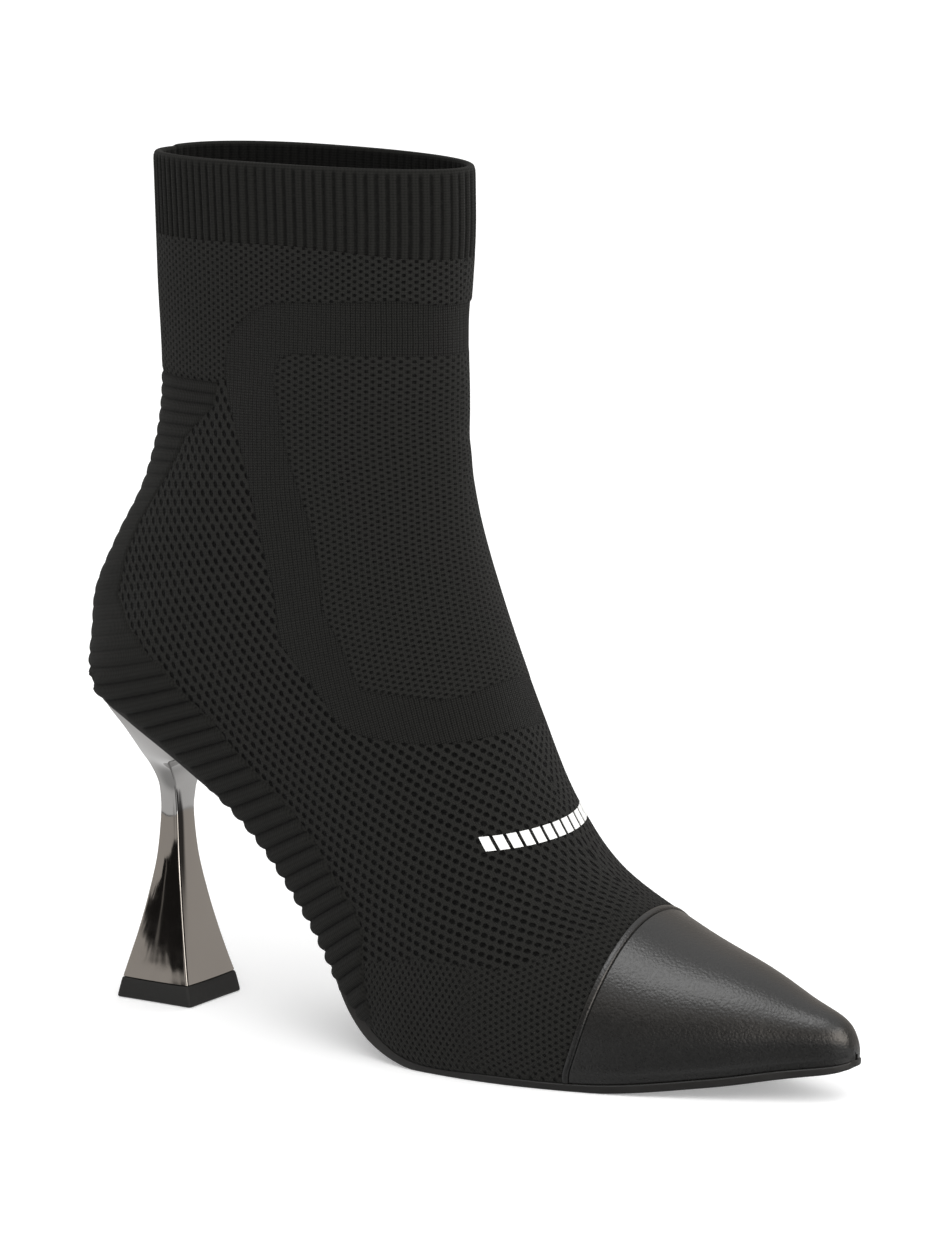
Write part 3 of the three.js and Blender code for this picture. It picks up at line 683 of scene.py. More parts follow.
def vamp_bars(sizes):
    """Row of plain equal bars over the vamp: a nearly level path round the foot, cut into bars of one
    width, with the gaps between them left out of the wall."""
    width, pitch, tall = in_mm(sizes.bar_width), in_mm(sizes.bar_pitch), in_mm(sizes.bar_height)
    way = np.linspace(0.755, 1.165, 300)

    def row_on(way):
        share, side = round_places(way)
        target = 65 + 4 * (way - 0.76) / 0.4
        return row_where(lambda u: target - last_point(u, share, side)[..., 2], 5.5, 9, way.shape)

    share, side = round_places(way)
    path = last_point(row_on(way), share, side)
    run = np.concatenate([[0], np.cumsum(np.linalg.norm(np.diff(path, axis=0), axis=1))])
    number = int(run[-1] // pitch)
    cut = np.concatenate([[0], np.linspace(0.04, 0.96, 5), [1]]) * width
    places = np.interp((np.arange(number)[:, None] * pitch + cut[None, :]).ravel(), run, way)
    share, side = round_places(places)
    base = row_on(places)
    span = last_point(base + 0.1, share, side) - last_point(base - 0.1, share, side)
    speed = np.linalg.norm(span, axis=-1) / 0.2
    up = (np.concatenate([[0], np.linspace(0.02, 0.98, 7), [1]]) - 0.5) * tall
    u = base[None, :] + up[:, None] / speed[None, :]
    share, side = share + 0 * u, side + 0 * u
    keep = np.ones((len(up) - 1, len(places) - 1), bool)
    keep[:, len(cut) - 1::len(cut)] = False
    outer = raised(u, share, side, np.full(u.shape, 0.22))
    return slab(outer, raised(u, share, side, np.full(u.shape, -0.2)), keep)


def sole_line(u):
    """The line under the feather: its point and the direction straight out of the sole in the side view."""
    s = np.moveaxis(read_table(SECTIONS, u), -1, 0)
    ahead = read_table(SECTIONS, u + 0.05) - read_table(SECTIONS, np.maximum(u - 0.05, 0))
    slope = ahead[..., :2] / np.linalg.norm(ahead[..., :2], axis=-1, keepdims=True)
    return s, -slope[..., 1] * smooth(u, 0.8, 4), slope[..., 0]


def sole_point(u, depth, out, side):
    """Point at a depth under the feather line and a distance out from it, never below the floor."""
    s, down_x, down_z = sole_line(u)
    feather = np.where(side < 0, s[6], s[7])
    flat = 0.4 * smooth(depth, 0.3, TREAD_THICKNESS)
    x = s[0] + down_x * depth
    z = np.maximum(0, s[1] + down_z * depth - flat)
    half = np.maximum(feather + out, 0.05)
    return np.stack(np.broadcast_arrays(x, side * half + s[12], z), -1)


def sole_thickness(u):
    """Thickness of the outsole, thick under the tread and thin under the waist and the seat."""
    waist = (WAIST_THICKNESS - TREAD_THICKNESS) * smooth(u, 7.6, 10)
    return TREAD_THICKNESS + waist - TOE_THINNING * (1 - smooth(u, 0, 4))


def outsole(sizes):
    """Outsole: a rounded edge profile carried along both sides of the feather line, with a flat under
    face. The ends close round."""
    over = in_mm(sizes.sole_overhang)
    rows = np.concatenate([
        np.linspace(0, 1.5, 26)[:-1], np.linspace(1.5, 13, 130)[:-1], np.linspace(13, SOLE_END_ROW, 24),
    ])
    thick = sole_thickness(rows)[:, None]
    turn = np.radians(np.linspace(0, 90, 6))
    bevel = 0.9
    out = np.concatenate([[-6, -3, -3, -0.25, 0], -bevel * (1 - np.cos(turn)), [-6]])
    top = lip_drop(rows, 0)[:, None] - 0.15
    depth = np.concatenate([
        np.full((len(rows), 2), -0.15), top, top, top + 0.25,
        thick - 0.55 + 0.55 * np.sin(turn)[None, :], thick,
    ], axis=1)
    u = rows[:, None] + depth * 0
    start = np.sqrt(np.clip(1 - (1 - np.clip(rows / 0.35, 0, 1)) ** 2, 0, 1))
    finish = np.sqrt(np.clip(1 - (1 - np.clip((SOLE_END_ROW - rows) / 0.12, 0, 1)) ** 2, 0, 1))
    waist = smooth(rows, 7.6, 8.8) * (1 - smooth(rows, 10.2, 11.2))
    seat = smooth(rows, 10.2, 11.2)
    edge = over - (over + 2.4) * waist - (over + 0.2) * seat - 1.4 * (1 - finish) - 0.5 * (1 - start)
    out = out[None, :] + edge[:, None]
    outer_side = sole_point(u, depth, out, -1)
    inner_side = sole_point(u, depth, out, 1)
    ring = np.concatenate([outer_side, inner_side[:, ::-1]], axis=1)
    tip = ring[:1].copy()
    tip[..., 0] += 0.3
    tip[..., 1] = ring[0, :, 1].mean() + (tip[..., 1] - ring[0, :, 1].mean()) * 0.6
    ring = capped(np.concatenate([tip, ring]))
    return ring.reshape(-1, 3), ring_faces(*ring.shape[:2])


def insole(sizes):
    """Insole board, thinner at its edges, inside the lasting margin."""
    rows = np.linspace(2.7, 13.3, 110)
    across = np.linspace(-1, 1, 25)
    u = rows[:, None] + across[None, :] * 0
    side = np.where(across < 0, -1, 1)[None, :] + u * 0
    s, down_x, down_z = sole_line(u)
    feather = np.where(side < 0, s[6], s[7])
    half = np.maximum(feather - LASTING_MARGIN, 0.4 * feather) - 0.3
    thick = in_mm(sizes.insole_thickness) * np.sqrt(1 - 0.35 * np.abs(across[None, :]) ** 12)
    y = across[None, :] * half + s[12]
    top = np.stack([s[0] - down_x * thick, y, s[1] - down_z * thick], -1)
    return slab(top, np.stack([s[0], y, s[1]], -1))


def heel_places(level, table):
    """Row of the heel's table at a level, found on the curve through the levels of its rows."""
    return row_where(lambda u: level - read_table(table[:, :1], u)[..., 0], 0, len(table) - 1, level.shape)


def heel_outline(level, corner, crown=0.0, table=HEEL, arc=7, along=11):
    """Section of the heel at some levels: four sides with rounded upright edges. Each corner is an arc from
    a point on one side to a point on the next, bent toward the corner, and each side bows out by the crown
    in its middle, as a parabola."""
    h = np.moveaxis(read_table(table, heel_places(level, table)), -1, 0)
    front, back = h[1] * HEEL_LENGTH, -h[2] * HEEL_LENGTH
    wide, narrow = h[3] * HEEL_WIDTH, h[4] * HEEL_WIDTH
    corners = np.stack([
        np.stack([front, -wide], -1), np.stack([front, wide], -1),
        np.stack([back, narrow], -1), np.stack([back, -narrow], -1),
    ], 1)
    before = np.roll(corners, 1, axis=1) - corners
    after = np.roll(corners, -1, axis=1) - corners
    before = before / np.linalg.norm(before, axis=-1, keepdims=True)
    after = after / np.linalg.norm(after, axis=-1, keepdims=True)
    t = np.linspace(0, 1, arc)[None, None, :, None]
    start, end = (corners + before * corner)[:, :, None], (corners + after * corner)[:, :, None]
    bend = start * (1 - t) ** 2 + 2 * corners[:, :, None] * t * (1 - t) + end * t**2
    w = np.linspace(0, 1, along + 2)[1:-1][None, None, :, None]
    straight = end * (1 - w) + np.roll(start, -1, axis=1) * w
    square = np.stack([after[..., 1], -after[..., 0]], -1)[:, :, None]
    straight = straight + square * (4 * crown * w * (1 - w))
    return np.concatenate([bend, straight], axis=2).reshape(len(level), -1, 2)


def seat_underside():
    """The seat's under face, by its x: height and half width."""
    u = np.linspace(HEEL_FRONT_ROW - 1.5, SOLE_END_ROW, 160)
    p = sole_point(u, sole_thickness(u), np.full(u.shape, -0.5), 1)
    order = np.argsort(p[:, 0])
    return p[order, 0], p[order, 2], np.abs(p[order, 1])


def heel_block(sizes):
    """Flared heel. Each upright line of the section is followed up to where it meets the under face of the
    seat, and is held inside the seat's outline on its way."""
    corner = in_mm(sizes.heel_corner)
    seat_height = TREAD_THICKNESS + HEEL_RISE
    fine = np.linspace((TOP_PIECE_HEIGHT + 0.3) / seat_height, 1.15, 420)
    table = HEEL.copy()
    table[0] = 2 * HEEL[1] - HEEL[2]
    outline = heel_outline(fine, corner, in_mm(sizes.heel_crown), table)
    x, z, half = seat_underside()
    limit = np.interp(outline[..., 0], x, half, left=0.2)
    level = fine[:, None] * seat_height + outline[..., 0] * 0
    wide = np.abs(outline[..., 1])
    excess = wide - limit
    soft = 0.8
    held = wide - 0.5 * (excess + np.sqrt(excess**2 + soft**2)) + 0.5 * (np.sqrt(limit**2 + soft**2) - limit)
    held = np.where(level > 55, np.maximum(held, 0.1), wide)
    blend = smooth(level, 55, 66)
    y = np.sign(outline[..., 1]) * (wide * (1 - blend) + held * blend)
    back = x.min() + 0.8
    xx = np.maximum(outline[..., 0], back)
    lid = np.interp(xx, x, z) - 0.05
    above = level > lid
    first = np.where(above.any(0), above.argmax(0), len(fine) - 1)
    columns = np.arange(outline.shape[1])
    previous = np.maximum(first - 1, 0)
    gap0 = lid[previous, columns] - level[previous, columns]
    gap1 = level[first, columns] - lid[first, columns]
    stop = previous + gap0 / np.maximum(gap0 + gap1, 1e-6)
    rows = np.linspace(0, 1, 150)[:, None] * stop[None, :]
    i = np.clip(rows.astype(int), 0, len(fine) - 2)
    t = rows - i
    pick = lambda grid: np.take_along_axis(grid, i, 0) * (1 - t) + np.take_along_axis(grid, i + 1, 0) * t
    ring = np.stack([pick(xx), pick(y), pick(level)], -1)
    bottom = np.repeat(ring[:1].mean(1, keepdims=True), ring.shape[1], 1)
    lid_loops = []
    centre = ring[-1].mean(0)
    for part in (0.75, 0.5, 0.25, 0.0):
        loop = centre[None, :2] + (ring[-1, :, :2] - centre[None, :2]) * part
        lid_loops.append(np.concatenate([loop, np.interp(loop[:, :1], x, z) - 0.05], axis=1)[None])
    ring = np.concatenate([bottom, ring, *lid_loops])
    return ring.reshape(-1, 3), ring_faces(*ring.shape[:2])


def heel_top_piece(sizes):
    """Rubber top piece: the heel's section again, a little proud of it, with rounded lips."""
    seat_height = TREAD_THICKNESS + HEEL_RISE
    z = np.array([0.0, 0.12, 0.4, 0.8, 2, 3.5, 4.8, 5.5, 5.85, 6.0])
    grow = np.array([-0.5, -0.2, 0.0, 0.05, 0.12, 0.16, 0.2, 0.22, 0.1, -0.25])
    outline = heel_outline(z / seat_height, 1.1)
    centre = outline.mean(1, keepdims=True)
    away = outline - centre
    outline = outline + away / np.linalg.norm(away, axis=-1, keepdims=True) * grow[:, None, None]
    ring = np.concatenate([outline, np.repeat(z[:, None, None], outline.shape[1], 1)], axis=-1)
    ring = capped(ring)
    return ring.reshape(-1, 3), ring_faces(*ring.shape[:2])


# Finishes.

class Nodes:
    """Short calls for the nodes of one tree."""

    def __init__(self, tree):
        self.tree = tree

    def node(self, kind, *inputs, out=0, **settings):
        made = self.tree.nodes.new("ShaderNode" + kind)
        for name, value in settings.items():
            setattr(made, name, value)
        for place, value in enumerate(inputs):
            self.feed(made.inputs[place], value)
        return made.outputs[out]

    def feed(self, socket, value):
        if isinstance(value, bpy.types.NodeSocket):
            self.tree.links.new(value, socket)
        elif value is not None:
            socket.default_value = value

    def math(self, operation, a, b=None, c=None, clamp=False):
        return self.node("Math", a, b, c, operation=operation, use_clamp=clamp)

    def ramp(self, value, low, high, to_low=0.0, to_high=1.0):
        """Even curve from to_low at low to to_high at high."""
        return self.node("MapRange", value, low, high, to_low, to_high, interpolation_type="SMOOTHSTEP")

    def mix(self, share, a, b):
        made = self.tree.nodes.new("ShaderNodeMix")
        made.data_type = "RGBA"
        self.feed(made.inputs[0], share)
        self.feed(made.inputs[6], a)
        self.feed(made.inputs[7], b)
        return made.outputs[2]

    def value(self, name):
        return self.node("Attribute", out=2, attribute_name=name)

    def noise(self, vector, scale, detail=2.0, roughness=0.5):
        made = self.tree.nodes.new("ShaderNodeTexNoise")
        self.feed(made.inputs["Vector"], vector)
        made.inputs["Scale"].default_value = scale
        made.inputs["Detail"].default_value = detail
        made.inputs["Roughness"].default_value = roughness
        return made.outputs[0]

    def bump(self, height, strength, distance, after=None):
        made = self.tree.nodes.new("ShaderNodeBump")
        made.inputs["Strength"].default_value = strength
        made.inputs["Distance"].default_value = distance
        self.feed(made.inputs["Height"], height)
        if after is not None:
            self.feed(made.inputs["Normal"], after)
        return made.outputs[0]

    def split(self, vector):
        made = self.tree.nodes.new("ShaderNodeSeparateXYZ")
        self.feed(made.inputs[0], vector)
        return made.outputs

    def window(self, value, low, high, soft):
        """1 between two values and 0 outside them, with soft borders."""
        return self.math("MULTIPLY", self.ramp(value, low - soft, low + soft),
                         self.ramp(value, high - soft, high + soft, 1.0, 0.0))


class Finish(Nodes):
    """Short calls for the nodes of one material, with its shader's uniform values."""

    def __init__(self, name, **settings):
        self.material = bpy.data.materials.new(name)
        self.material.use_nodes = True
        super().__init__(self.material.node_tree)
        self.shader = self.tree.nodes["Principled BSDF"]
        for socket, value in settings.items():
            self.shader.inputs[socket.replace("_", " ")].default_value = value

    def place(self):
        return self.node("TexCoord", out=3)

    def pattern(self, name="pattern"):
        """Places on a flat pattern in millimetres: across and up."""
        parts = self.split(self.node("UVMap", uv_map=name))
        return self.math("MULTIPLY", parts[0], 100.0), self.math("MULTIPLY", parts[1], 100.0)

    def cells(self, across, up, pitch_across, pitch_up, half_across, half_up, soft=0.3, lean=0.0):
        """Staggered pits, 1 in their middle and 0 between them. Every second row of cells is shifted by
        half a pitch, and a pit is an ellipse in its cell."""
        b = self.math("DIVIDE", up, pitch_up)
        row = self.math("FLOOR", b)
        shift = self.math("FRACT", self.math("MULTIPLY", row, 0.5))
        a = self.math("ADD", self.math("DIVIDE", across, pitch_across), shift)
        fy = self.math("SUBTRACT", self.math("FRACT", b), 0.5)
        fx = self.math("SUBTRACT", self.math("FRACT", a), 0.5)
        if lean:
            fx = self.math("ADD", fx, self.math("MULTIPLY", fy, lean))
        dx = self.math("DIVIDE", fx, half_across)
        dy = self.math("DIVIDE", fy, half_up)
        d = self.math("SQRT", self.math("ADD", self.math("MULTIPLY", dx, dx), self.math("MULTIPLY", dy, dy)))
        return self.ramp(d, 1 - soft, 1 + soft, 1.0, 0.0)

    def wave(self, value, pitch):
        """Round ridges, 0 in the grooves and 1 on the crests."""
        turn = self.math("MULTIPLY", value, math.pi / pitch)
        return self.math("ABSOLUTE", self.math("SINE", turn))

    def finish(self, colour=None, roughness=None, normal=None):
        for name, value in (("Base Color", colour), ("Roughness", roughness), ("Normal", normal)):
            if value is not None:
                self.feed(self.shader.inputs[name], value)
        return self.material


def shade(colour, factor):
    """A colour made lighter or darker."""
    return tuple(min(1.0, channel * factor) for channel in colour[:3]) + (1.0,)


KNIT_SURFACE = {"Roughness": 0.95, "Sheen_Weight": 0.03, "Sheen_Roughness": 0.5, "Specular_IOR_Level": 0.08}


def yarn_ending(f, look, colour, lighter, relief, strength, distance):
    """Ending of both knit materials: loose fibres, painted shade on the inner face and the relief."""
    fuzz = f.noise(f.place(), 900.0, 3.0)
    colour = f.mix(f.ramp(fuzz, 0.35, 0.8, 0.0, 0.2), colour, shade(look.yarn, lighter))
    # Painted shade: the inner face is darkened, as it lies in shade inside the boot.
    colour = f.mix(f.math("MULTIPLY", f.value("inside"), 0.6), colour, shade(look.yarn, 0.1))
    normal = f.bump(relief, strength, distance)
    return f.finish(colour, None, f.bump(fuzz, 0.25, 0.00015, normal))


def knit_finish(look):
    """Knit of the sock: five kinds of openwork and one smooth jersey, chosen by the fields' borders. The
    openwork is yarn with staggered pits, and the jersey has fine wales with every second one wider. The
    colour follows the relief: painted shade in the pits and between the stitches, a painted shadow along the
    borders of the band and the panel, and painted shade along the back seam."""
    f = Finish("sock_knit", **KNIT_SURFACE)
    across, up = f.pattern()
    ahead, height = f.pattern("level")
    drift = f.math("MULTIPLY_ADD", f.noise(f.place(), 120.0, 2.0), 0.5, -0.25)
    across = f.math("ADD", across, drift)
    ahead = f.math("ADD", ahead, drift)
    wale = f.wave(across, 0.72)
    course = f.wave(up, 0.75)
    jersey = f.math("MULTIPLY_ADD", wale, 0.7, 0.3)
    jersey = f.math("MULTIPLY", jersey, f.math("MULTIPLY_ADD", course, 0.6, 0.4))
    jersey = f.math("MULTIPLY", jersey, f.math("MULTIPLY_ADD", f.wave(across, 1.44), 0.5, 0.5))
    jersey = f.math("MULTIPLY_ADD", jersey, 1.05, 0.14)
    grain = f.math("MULTIPLY_ADD", f.math("MULTIPLY", wale, course), 0.3, 0.7)

    def openwork(along, rise, *cell, depth=1.0):
        return f.math("MULTIPLY_ADD", f.cells(along, rise, *cell), -depth, grain)

    mesh = openwork(across, up, 3.2, 2.25, 0.22, 0.38, 0.5, 0.2, depth=1.15)
    comb = openwork(across, up, 3.4, 0.96, 0.16, 0.55, 0.6, depth=0.7)
    panel = openwork(across, up, 3.8, 0.95, 0.17, 0.52, 0.6, depth=0.6)
    dots = openwork(ahead, height, 2.1, 1.54, 0.22, 0.36, 0.5, depth=0.65)
    tight = openwork(ahead, height, 3.4, 0.98, 0.16, 0.5, 0.6, depth=0.6)
    dots = f.node("Mix", f.ramp(ahead, 118.0, 132.0), None, dots, tight)
    relief = mesh
    kinds = (("fore", 1.0, dots), ("leg", 0.25, comb), ("band", 0.25, jersey), ("panel", 0.25, panel))
    for field, soft, kind in kinds:
        relief = f.node("Mix", f.ramp(f.value(field), -soft, soft), None, relief, kind)
    # Painted shadow: the relief, and with it the colour, is darker along the borders of the band and the
    # panel, where the knit steps.
    for field in ("band", "panel"):
        near = f.math("ABSOLUTE", f.value(field))
        relief = f.math("MULTIPLY", relief, f.ramp(near, 0.1, 0.7, 0.78, 1.0))
    relief = f.node("Mix", f.value("inside"), None, relief, jersey)
    # Painted shade: along the back seam the relief, and with it the colour, falls to its darkest.
    relief = f.math("MULTIPLY", relief, f.ramp(f.value("seam"), 0.25, 0.9))
    # Painted shade: the colour follows the relief, nearly black in the pits and darker between the stitches.
    colour = f.mix(f.ramp(relief, 0.05, 0.95), shade(look.yarn, 0.04), shade(look.yarn, 1.5))
    return yarn_ending(f, look, colour, 1.8, relief, 0.8, 0.0006)


def rib_finish(look):
    """Ribbed knit: short stitches across each rib, with painted shade where the stitches dip, in the grooves
    between the ribs and along the back seam.
    """
    f = Finish("ribbed_knit", **KNIT_SURFACE)
    across, along = f.pattern()
    stitch = f.wave(along, 0.77)
    wale = f.wave(across, 1.0)
    height = f.math("MULTIPLY_ADD", stitch, 0.45, 0.55)
    height = f.math("MULTIPLY", height, f.math("MULTIPLY_ADD", wale, 0.3, 0.7))
    # Painted shade: along the back seam the height, and with it the colour, falls to its darkest.
    height = f.math("MULTIPLY", height, f.ramp(f.value("seam"), 0.2, 0.8))
    # Painted shade: the colour follows the stitches' height, darker where they dip.
    colour = f.mix(f.ramp(height, 0.2, 0.95), shade(look.yarn, 0.4), shade(look.yarn, 1.25))
    # Painted shade: the grooves between the ribs are darkened.
    colour = f.mix(f.ramp(f.value("groove"), 0.1, 1.0, 0.0, 0.8), colour, shade(look.yarn, 0.25))
    return yarn_ending(f, look, colour, 1.6, height, 0.5, 0.0004)


def print_finish(look):
    """Matt white print, a little thinner in fine random patches."""
    f = Finish("white_print", Roughness=0.6, Specular_IOR_Level=0.3)
    weave = f.noise(f.place(), 1100.0, 3.0)
    colour = f.mix(f.ramp(weave, 0.35, 0.7), shade(look.bars, 0.86), shade(look.bars, 1.0))
    return f.finish(colour, None, f.bump(weave, 0.3, 0.00015))


def leather_finish(look):
    """Black leather: fine pebble grain and creases, with a roughness that follows the creases, and a satin
    coat.
    """
    f = Finish("toe_leather", Roughness=0.42, Specular_IOR_Level=0.5)
    place = f.place()
    pebble = f.tree.nodes.new("ShaderNodeTexVoronoi")
    pebble.feature = "SMOOTH_F1"
    pebble.inputs["Scale"].default_value = 1000.0 / in_mm(look.grain)
    pebble.inputs["Smoothness"].default_value = 0.6
    f.feed(pebble.inputs["Vector"], place)
    crease = f.noise(place, 1100.0, 3.0, 0.6)
    height = f.math("MULTIPLY_ADD", pebble.outputs[0], -1.0, f.math("MULTIPLY", crease, 0.7))
    roughness = f.ramp(crease, 0.2, 0.8, look.leather_roughness - 0.06, look.leather_roughness + 0.08)
    fold = f.ramp(f.value("edge"), 2.3, 3.2)
    colour = f.mix(crease, shade(look.leather, 0.8), shade(look.leather, 1.25))
    colour = f.mix(fold, shade(look.leather, 0.75), colour)
    normal = f.bump(height, 0.34, 0.0002)
    return f.finish(colour, roughness, normal)


def sole_finish(look):
    """Black outsole: satin, with scuffed patches that are lighter and a little rougher."""
    f = Finish("sole_black", Specular_IOR_Level=0.4)
    place = f.place()
    scuff = f.noise(place, 60.0, 6.0, 0.65)
    fine = f.noise(place, 700.0, 3.0)
    colour = f.mix(scuff, shade(look.sole, 0.8), shade(look.sole, 1.35))
    roughness = f.ramp(scuff, 0.25, 0.75, 0.4, 0.55)
    return f.finish(colour, roughness, f.bump(fine, 0.2, 0.0002))


def lining_finish(look):
    """Soft black covering of the insole."""
    f = Finish("insole_cover", Specular_IOR_Level=0.35)
    place = f.place()
    nap = f.noise(place, 500.0, 4.0, 0.6)
    colour = f.mix(nap, shade(look.sole, 0.9), shade(look.sole, 1.8))
    return f.finish(colour, f.ramp(nap, 0.2, 0.8, 0.55, 0.75), f.bump(nap, 0.3, 0.0002))


def plated_finish(look):
    """Gunmetal plating, polished, with the least trace of waviness."""
    f = Finish("gunmetal_plating", Metallic=1.0)
    place = f.place()
    wave = f.noise(place, 28.0, 2.0)
    haze = f.noise(place, 300.0, 4.0)
    colour = f.mix(wave, shade(look.metal, 0.94), shade(look.metal, 1.06))
    roughness = f.ramp(haze, 0.3, 0.8, look.metal_roughness * 0.7, look.metal_roughness * 1.4)
    return f.finish(colour, roughness, f.bump(wave, 0.12, 0.0008))


def rubber_finish(look):
    """Matt black rubber with a fine tooth."""
    f = Finish("top_piece_rubber", Specular_IOR_Level=0.35)
    place = f.place()
    tooth = f.noise(place, 900.0, 3.0)
    cloud = f.noise(place, 90.0, 3.0)
    colour = f.mix(cloud, shade(look.rubber, 0.85), shade(look.rubber, 1.3))
    return f.finish(colour, f.ramp(cloud, 0.2, 0.8, 0.6, 0.75), f.bump(tooth, 0.3, 0.0002))


# Settings that a user would change.

def length(name, description, millimetres):
    return bpy.props.FloatProperty(
        name=name, description=description, default=millimetres * MM, min=0, unit="LENGTH", precision=5,
    )


def tone(name, description, default):
    return bpy.props.FloatVectorProperty(
        name=name, description=description, subtype="COLOR", size=3, min=0, max=1, default=default,
    )


def number(name, description, default, **settings):
    return bpy.props.FloatProperty(name=name, description=description, default=default, min=0, **settings)


class BootSizes(bpy.types.PropertyGroup):
    """Sizes of the layers and the relief."""

    knit_wall: length("Knit wall", "Thickness of the knit", 2.0)
    collar_ribs: bpy.props.IntProperty(
        name="Collar ribs", description="Ribs round the collar", default=86, min=8,
    )
    collar_rib_depth: length("Collar rib depth", "Depth of the grooves between the collar's ribs", 0.6)
    rand_rise: length("Rand rise", "Height of the rand's grooves over the plain knit", 0.2)
    rand_rib_depth: length("Rand rib depth", "Height of the rand's ribs over its grooves", 1.25)
    cap_thickness: length("Cap thickness", "Thickness of the toe cap's leather", 1.2)
    piping_width: length("Fold width", "Width of the fold along the cap's back edge", 1.8)
    piping_rise: length("Fold rise", "Height of that fold", 0.32)
    bar_width: length("Bar width", "Width of each white bar on the vamp", 2.9)
    bar_pitch: length("Bar pitch", "Distance from one bar to the next", 4.0)
    bar_height: length("Bar height", "Height of the bars", 4.5)
    insole_thickness: length("Insole thickness", "Thickness of the insole", 2.0)
    sole_overhang: length("Sole overhang", "How far the outsole stands out of the feather line", 0.8)
    heel_corner: length("Heel corner", "Rounding of the heel's upright edges", 0.8)
    heel_crown: length("Heel crown", "How far each side of the heel bows out", 0.35)


class BootLook(bpy.types.PropertyGroup):
    """Colours and finishes."""

    yarn: tone("Yarn", "Colour of the knit", (0.0095, 0.0094, 0.0086))
    leather: tone("Leather", "Colour of the toe cap", (0.010, 0.0098, 0.0094))
    leather_roughness: number("Leather roughness", "Roughness of the toe cap", 0.31, max=1)
    grain: length("Grain", "Size of the leather's grain", 0.75)
    bars: tone("Bars", "Colour of the bars on the vamp", (0.8, 0.8, 0.78))
    sole: tone("Sole", "Colour of the outsole and the insole", (0.008, 0.0078, 0.0075))
    metal: tone("Plating", "Colour of the heel's plating", (0.42, 0.41, 0.40))
    metal_roughness: number("Plating roughness", "Roughness of the plating", 0.06, max=1)
    rubber: tone("Rubber", "Colour of the heel's top piece", (0.0115, 0.0115, 0.011))


class BootStage(bpy.types.PropertyGroup):
    """Floor and light."""

    floor: tone("Floor", "Colour of the floor", (0.9, 0.9, 0.9))
    key: number("Key light", "Power of the large soft light", 15.0, unit="POWER")
    top: number("Top light", "Power of the soft box over the toe", 9.0, unit="POWER")
    surround: number("Surround", "Strength of the light all round", 0.95)


# Operators.

def sizes_now():
    return bpy.context.scene.boot_sizes


def look_now():
    return bpy.context.scene.boot_look


def finish_named(name, maker):
    """The material of that name, made the first time it is asked for."""
    return bpy.data.materials.get(name) or maker(look_now())


def add_piece(name, shape, finish, slot, *nodes, sharp=40):
    """A piece from its shape function and from the name and the maker of its finish."""
    points, faces, *places = shape(sizes_now())
    piece = make_piece(name, points, faces, [finish_named(*finish)], *places, sharp=sharp)
    install(piece, slot, *nodes)


class OBJECT_OT_boot_sock(bpy.types.Operator):
    """Makes the knit sock, open at the collar and under the foot"""

    bl_idname = "object.boot_sock"
    bl_label = "Knit sock"

    def execute(self, context):
        add_piece("knit_sock", knit_sock, ("sock_knit", knit_finish), "knit", "knit_upper")
        return {"FINISHED"}


class OBJECT_OT_boot_rand(bpy.types.Operator):
    """Makes the ribbed rand along the sole and up the heel"""

    bl_idname = "object.boot_rand"
    bl_label = "Ribbed rand"

    def execute(self, context):
        add_piece("knit_rand", rand_ribs, ("ribbed_knit", rib_finish), "knit", sharp=75)
        return {"FINISHED"}


class OBJECT_OT_boot_collar(bpy.types.Operator):
    """Makes the ribbed collar with its rolled rim"""

    bl_idname = "object.boot_collar"
    bl_label = "Ribbed collar"

    def execute(self, context):
        add_piece("knit_collar", collar_cuff, ("ribbed_knit", rib_finish), "knit", sharp=75)
        return {"FINISHED"}


class OBJECT_OT_boot_bars(bpy.types.Operator):
    """Makes the row of plain white bars over the vamp"""

    bl_idname = "object.boot_bars"
    bl_label = "Vamp bars"

    def execute(self, context):
        add_piece("vamp_bars", vamp_bars, ("white_print", print_finish), "knit")
        return {"FINISHED"}


class OBJECT_OT_boot_toe_cap(bpy.types.Operator):
    """Makes the leather toe cap with its folded edge"""

    bl_idname = "object.boot_toe_cap"
    bl_label = "Toe cap"

    def execute(self, context):
        add_piece("leather_toe_cap", toe_cap, ("toe_leather", leather_finish), "leather", "toe_cap")
        return {"FINISHED"}


class OBJECT_OT_boot_sole(bpy.types.Operator):
    """Makes the outsole and the insole"""

    bl_idname = "object.boot_sole"
    bl_label = "Outsole and insole"

    def execute(self, context):
        add_piece("thin_outsole", outsole, ("sole_black", sole_finish), "sole", "outsole", sharp=30)
        add_piece("insole_board", insole, ("insole_cover", lining_finish), "lining", "insole")
        return {"FINISHED"}


class OBJECT_OT_boot_heel(bpy.types.Operator):
    """Makes the plated heel and its rubber top piece"""

    bl_idname = "object.boot_heel"
    bl_label = "Heel and top piece"

    def execute(self, context):
        plating = ("gunmetal_plating", plated_finish)
        add_piece("plated_heel", heel_block, plating, "plated", "heel", sharp=35)
        tread = ("top_piece_rubber", rubber_finish)
        add_piece("rubber_top_piece", heel_top_piece, tread, "rubber", "heel_top_piece")
        return {"FINISHED"}


CAMERA_TURN, CAMERA_LIFT, CAMERA_ROLL = 32.186, 10.111, 0.2
CAMERA_DISTANCE, CAMERA_LENS = 1431.763, 149.417
CAMERA_TARGET = (107.612, -7.285, 124.669)


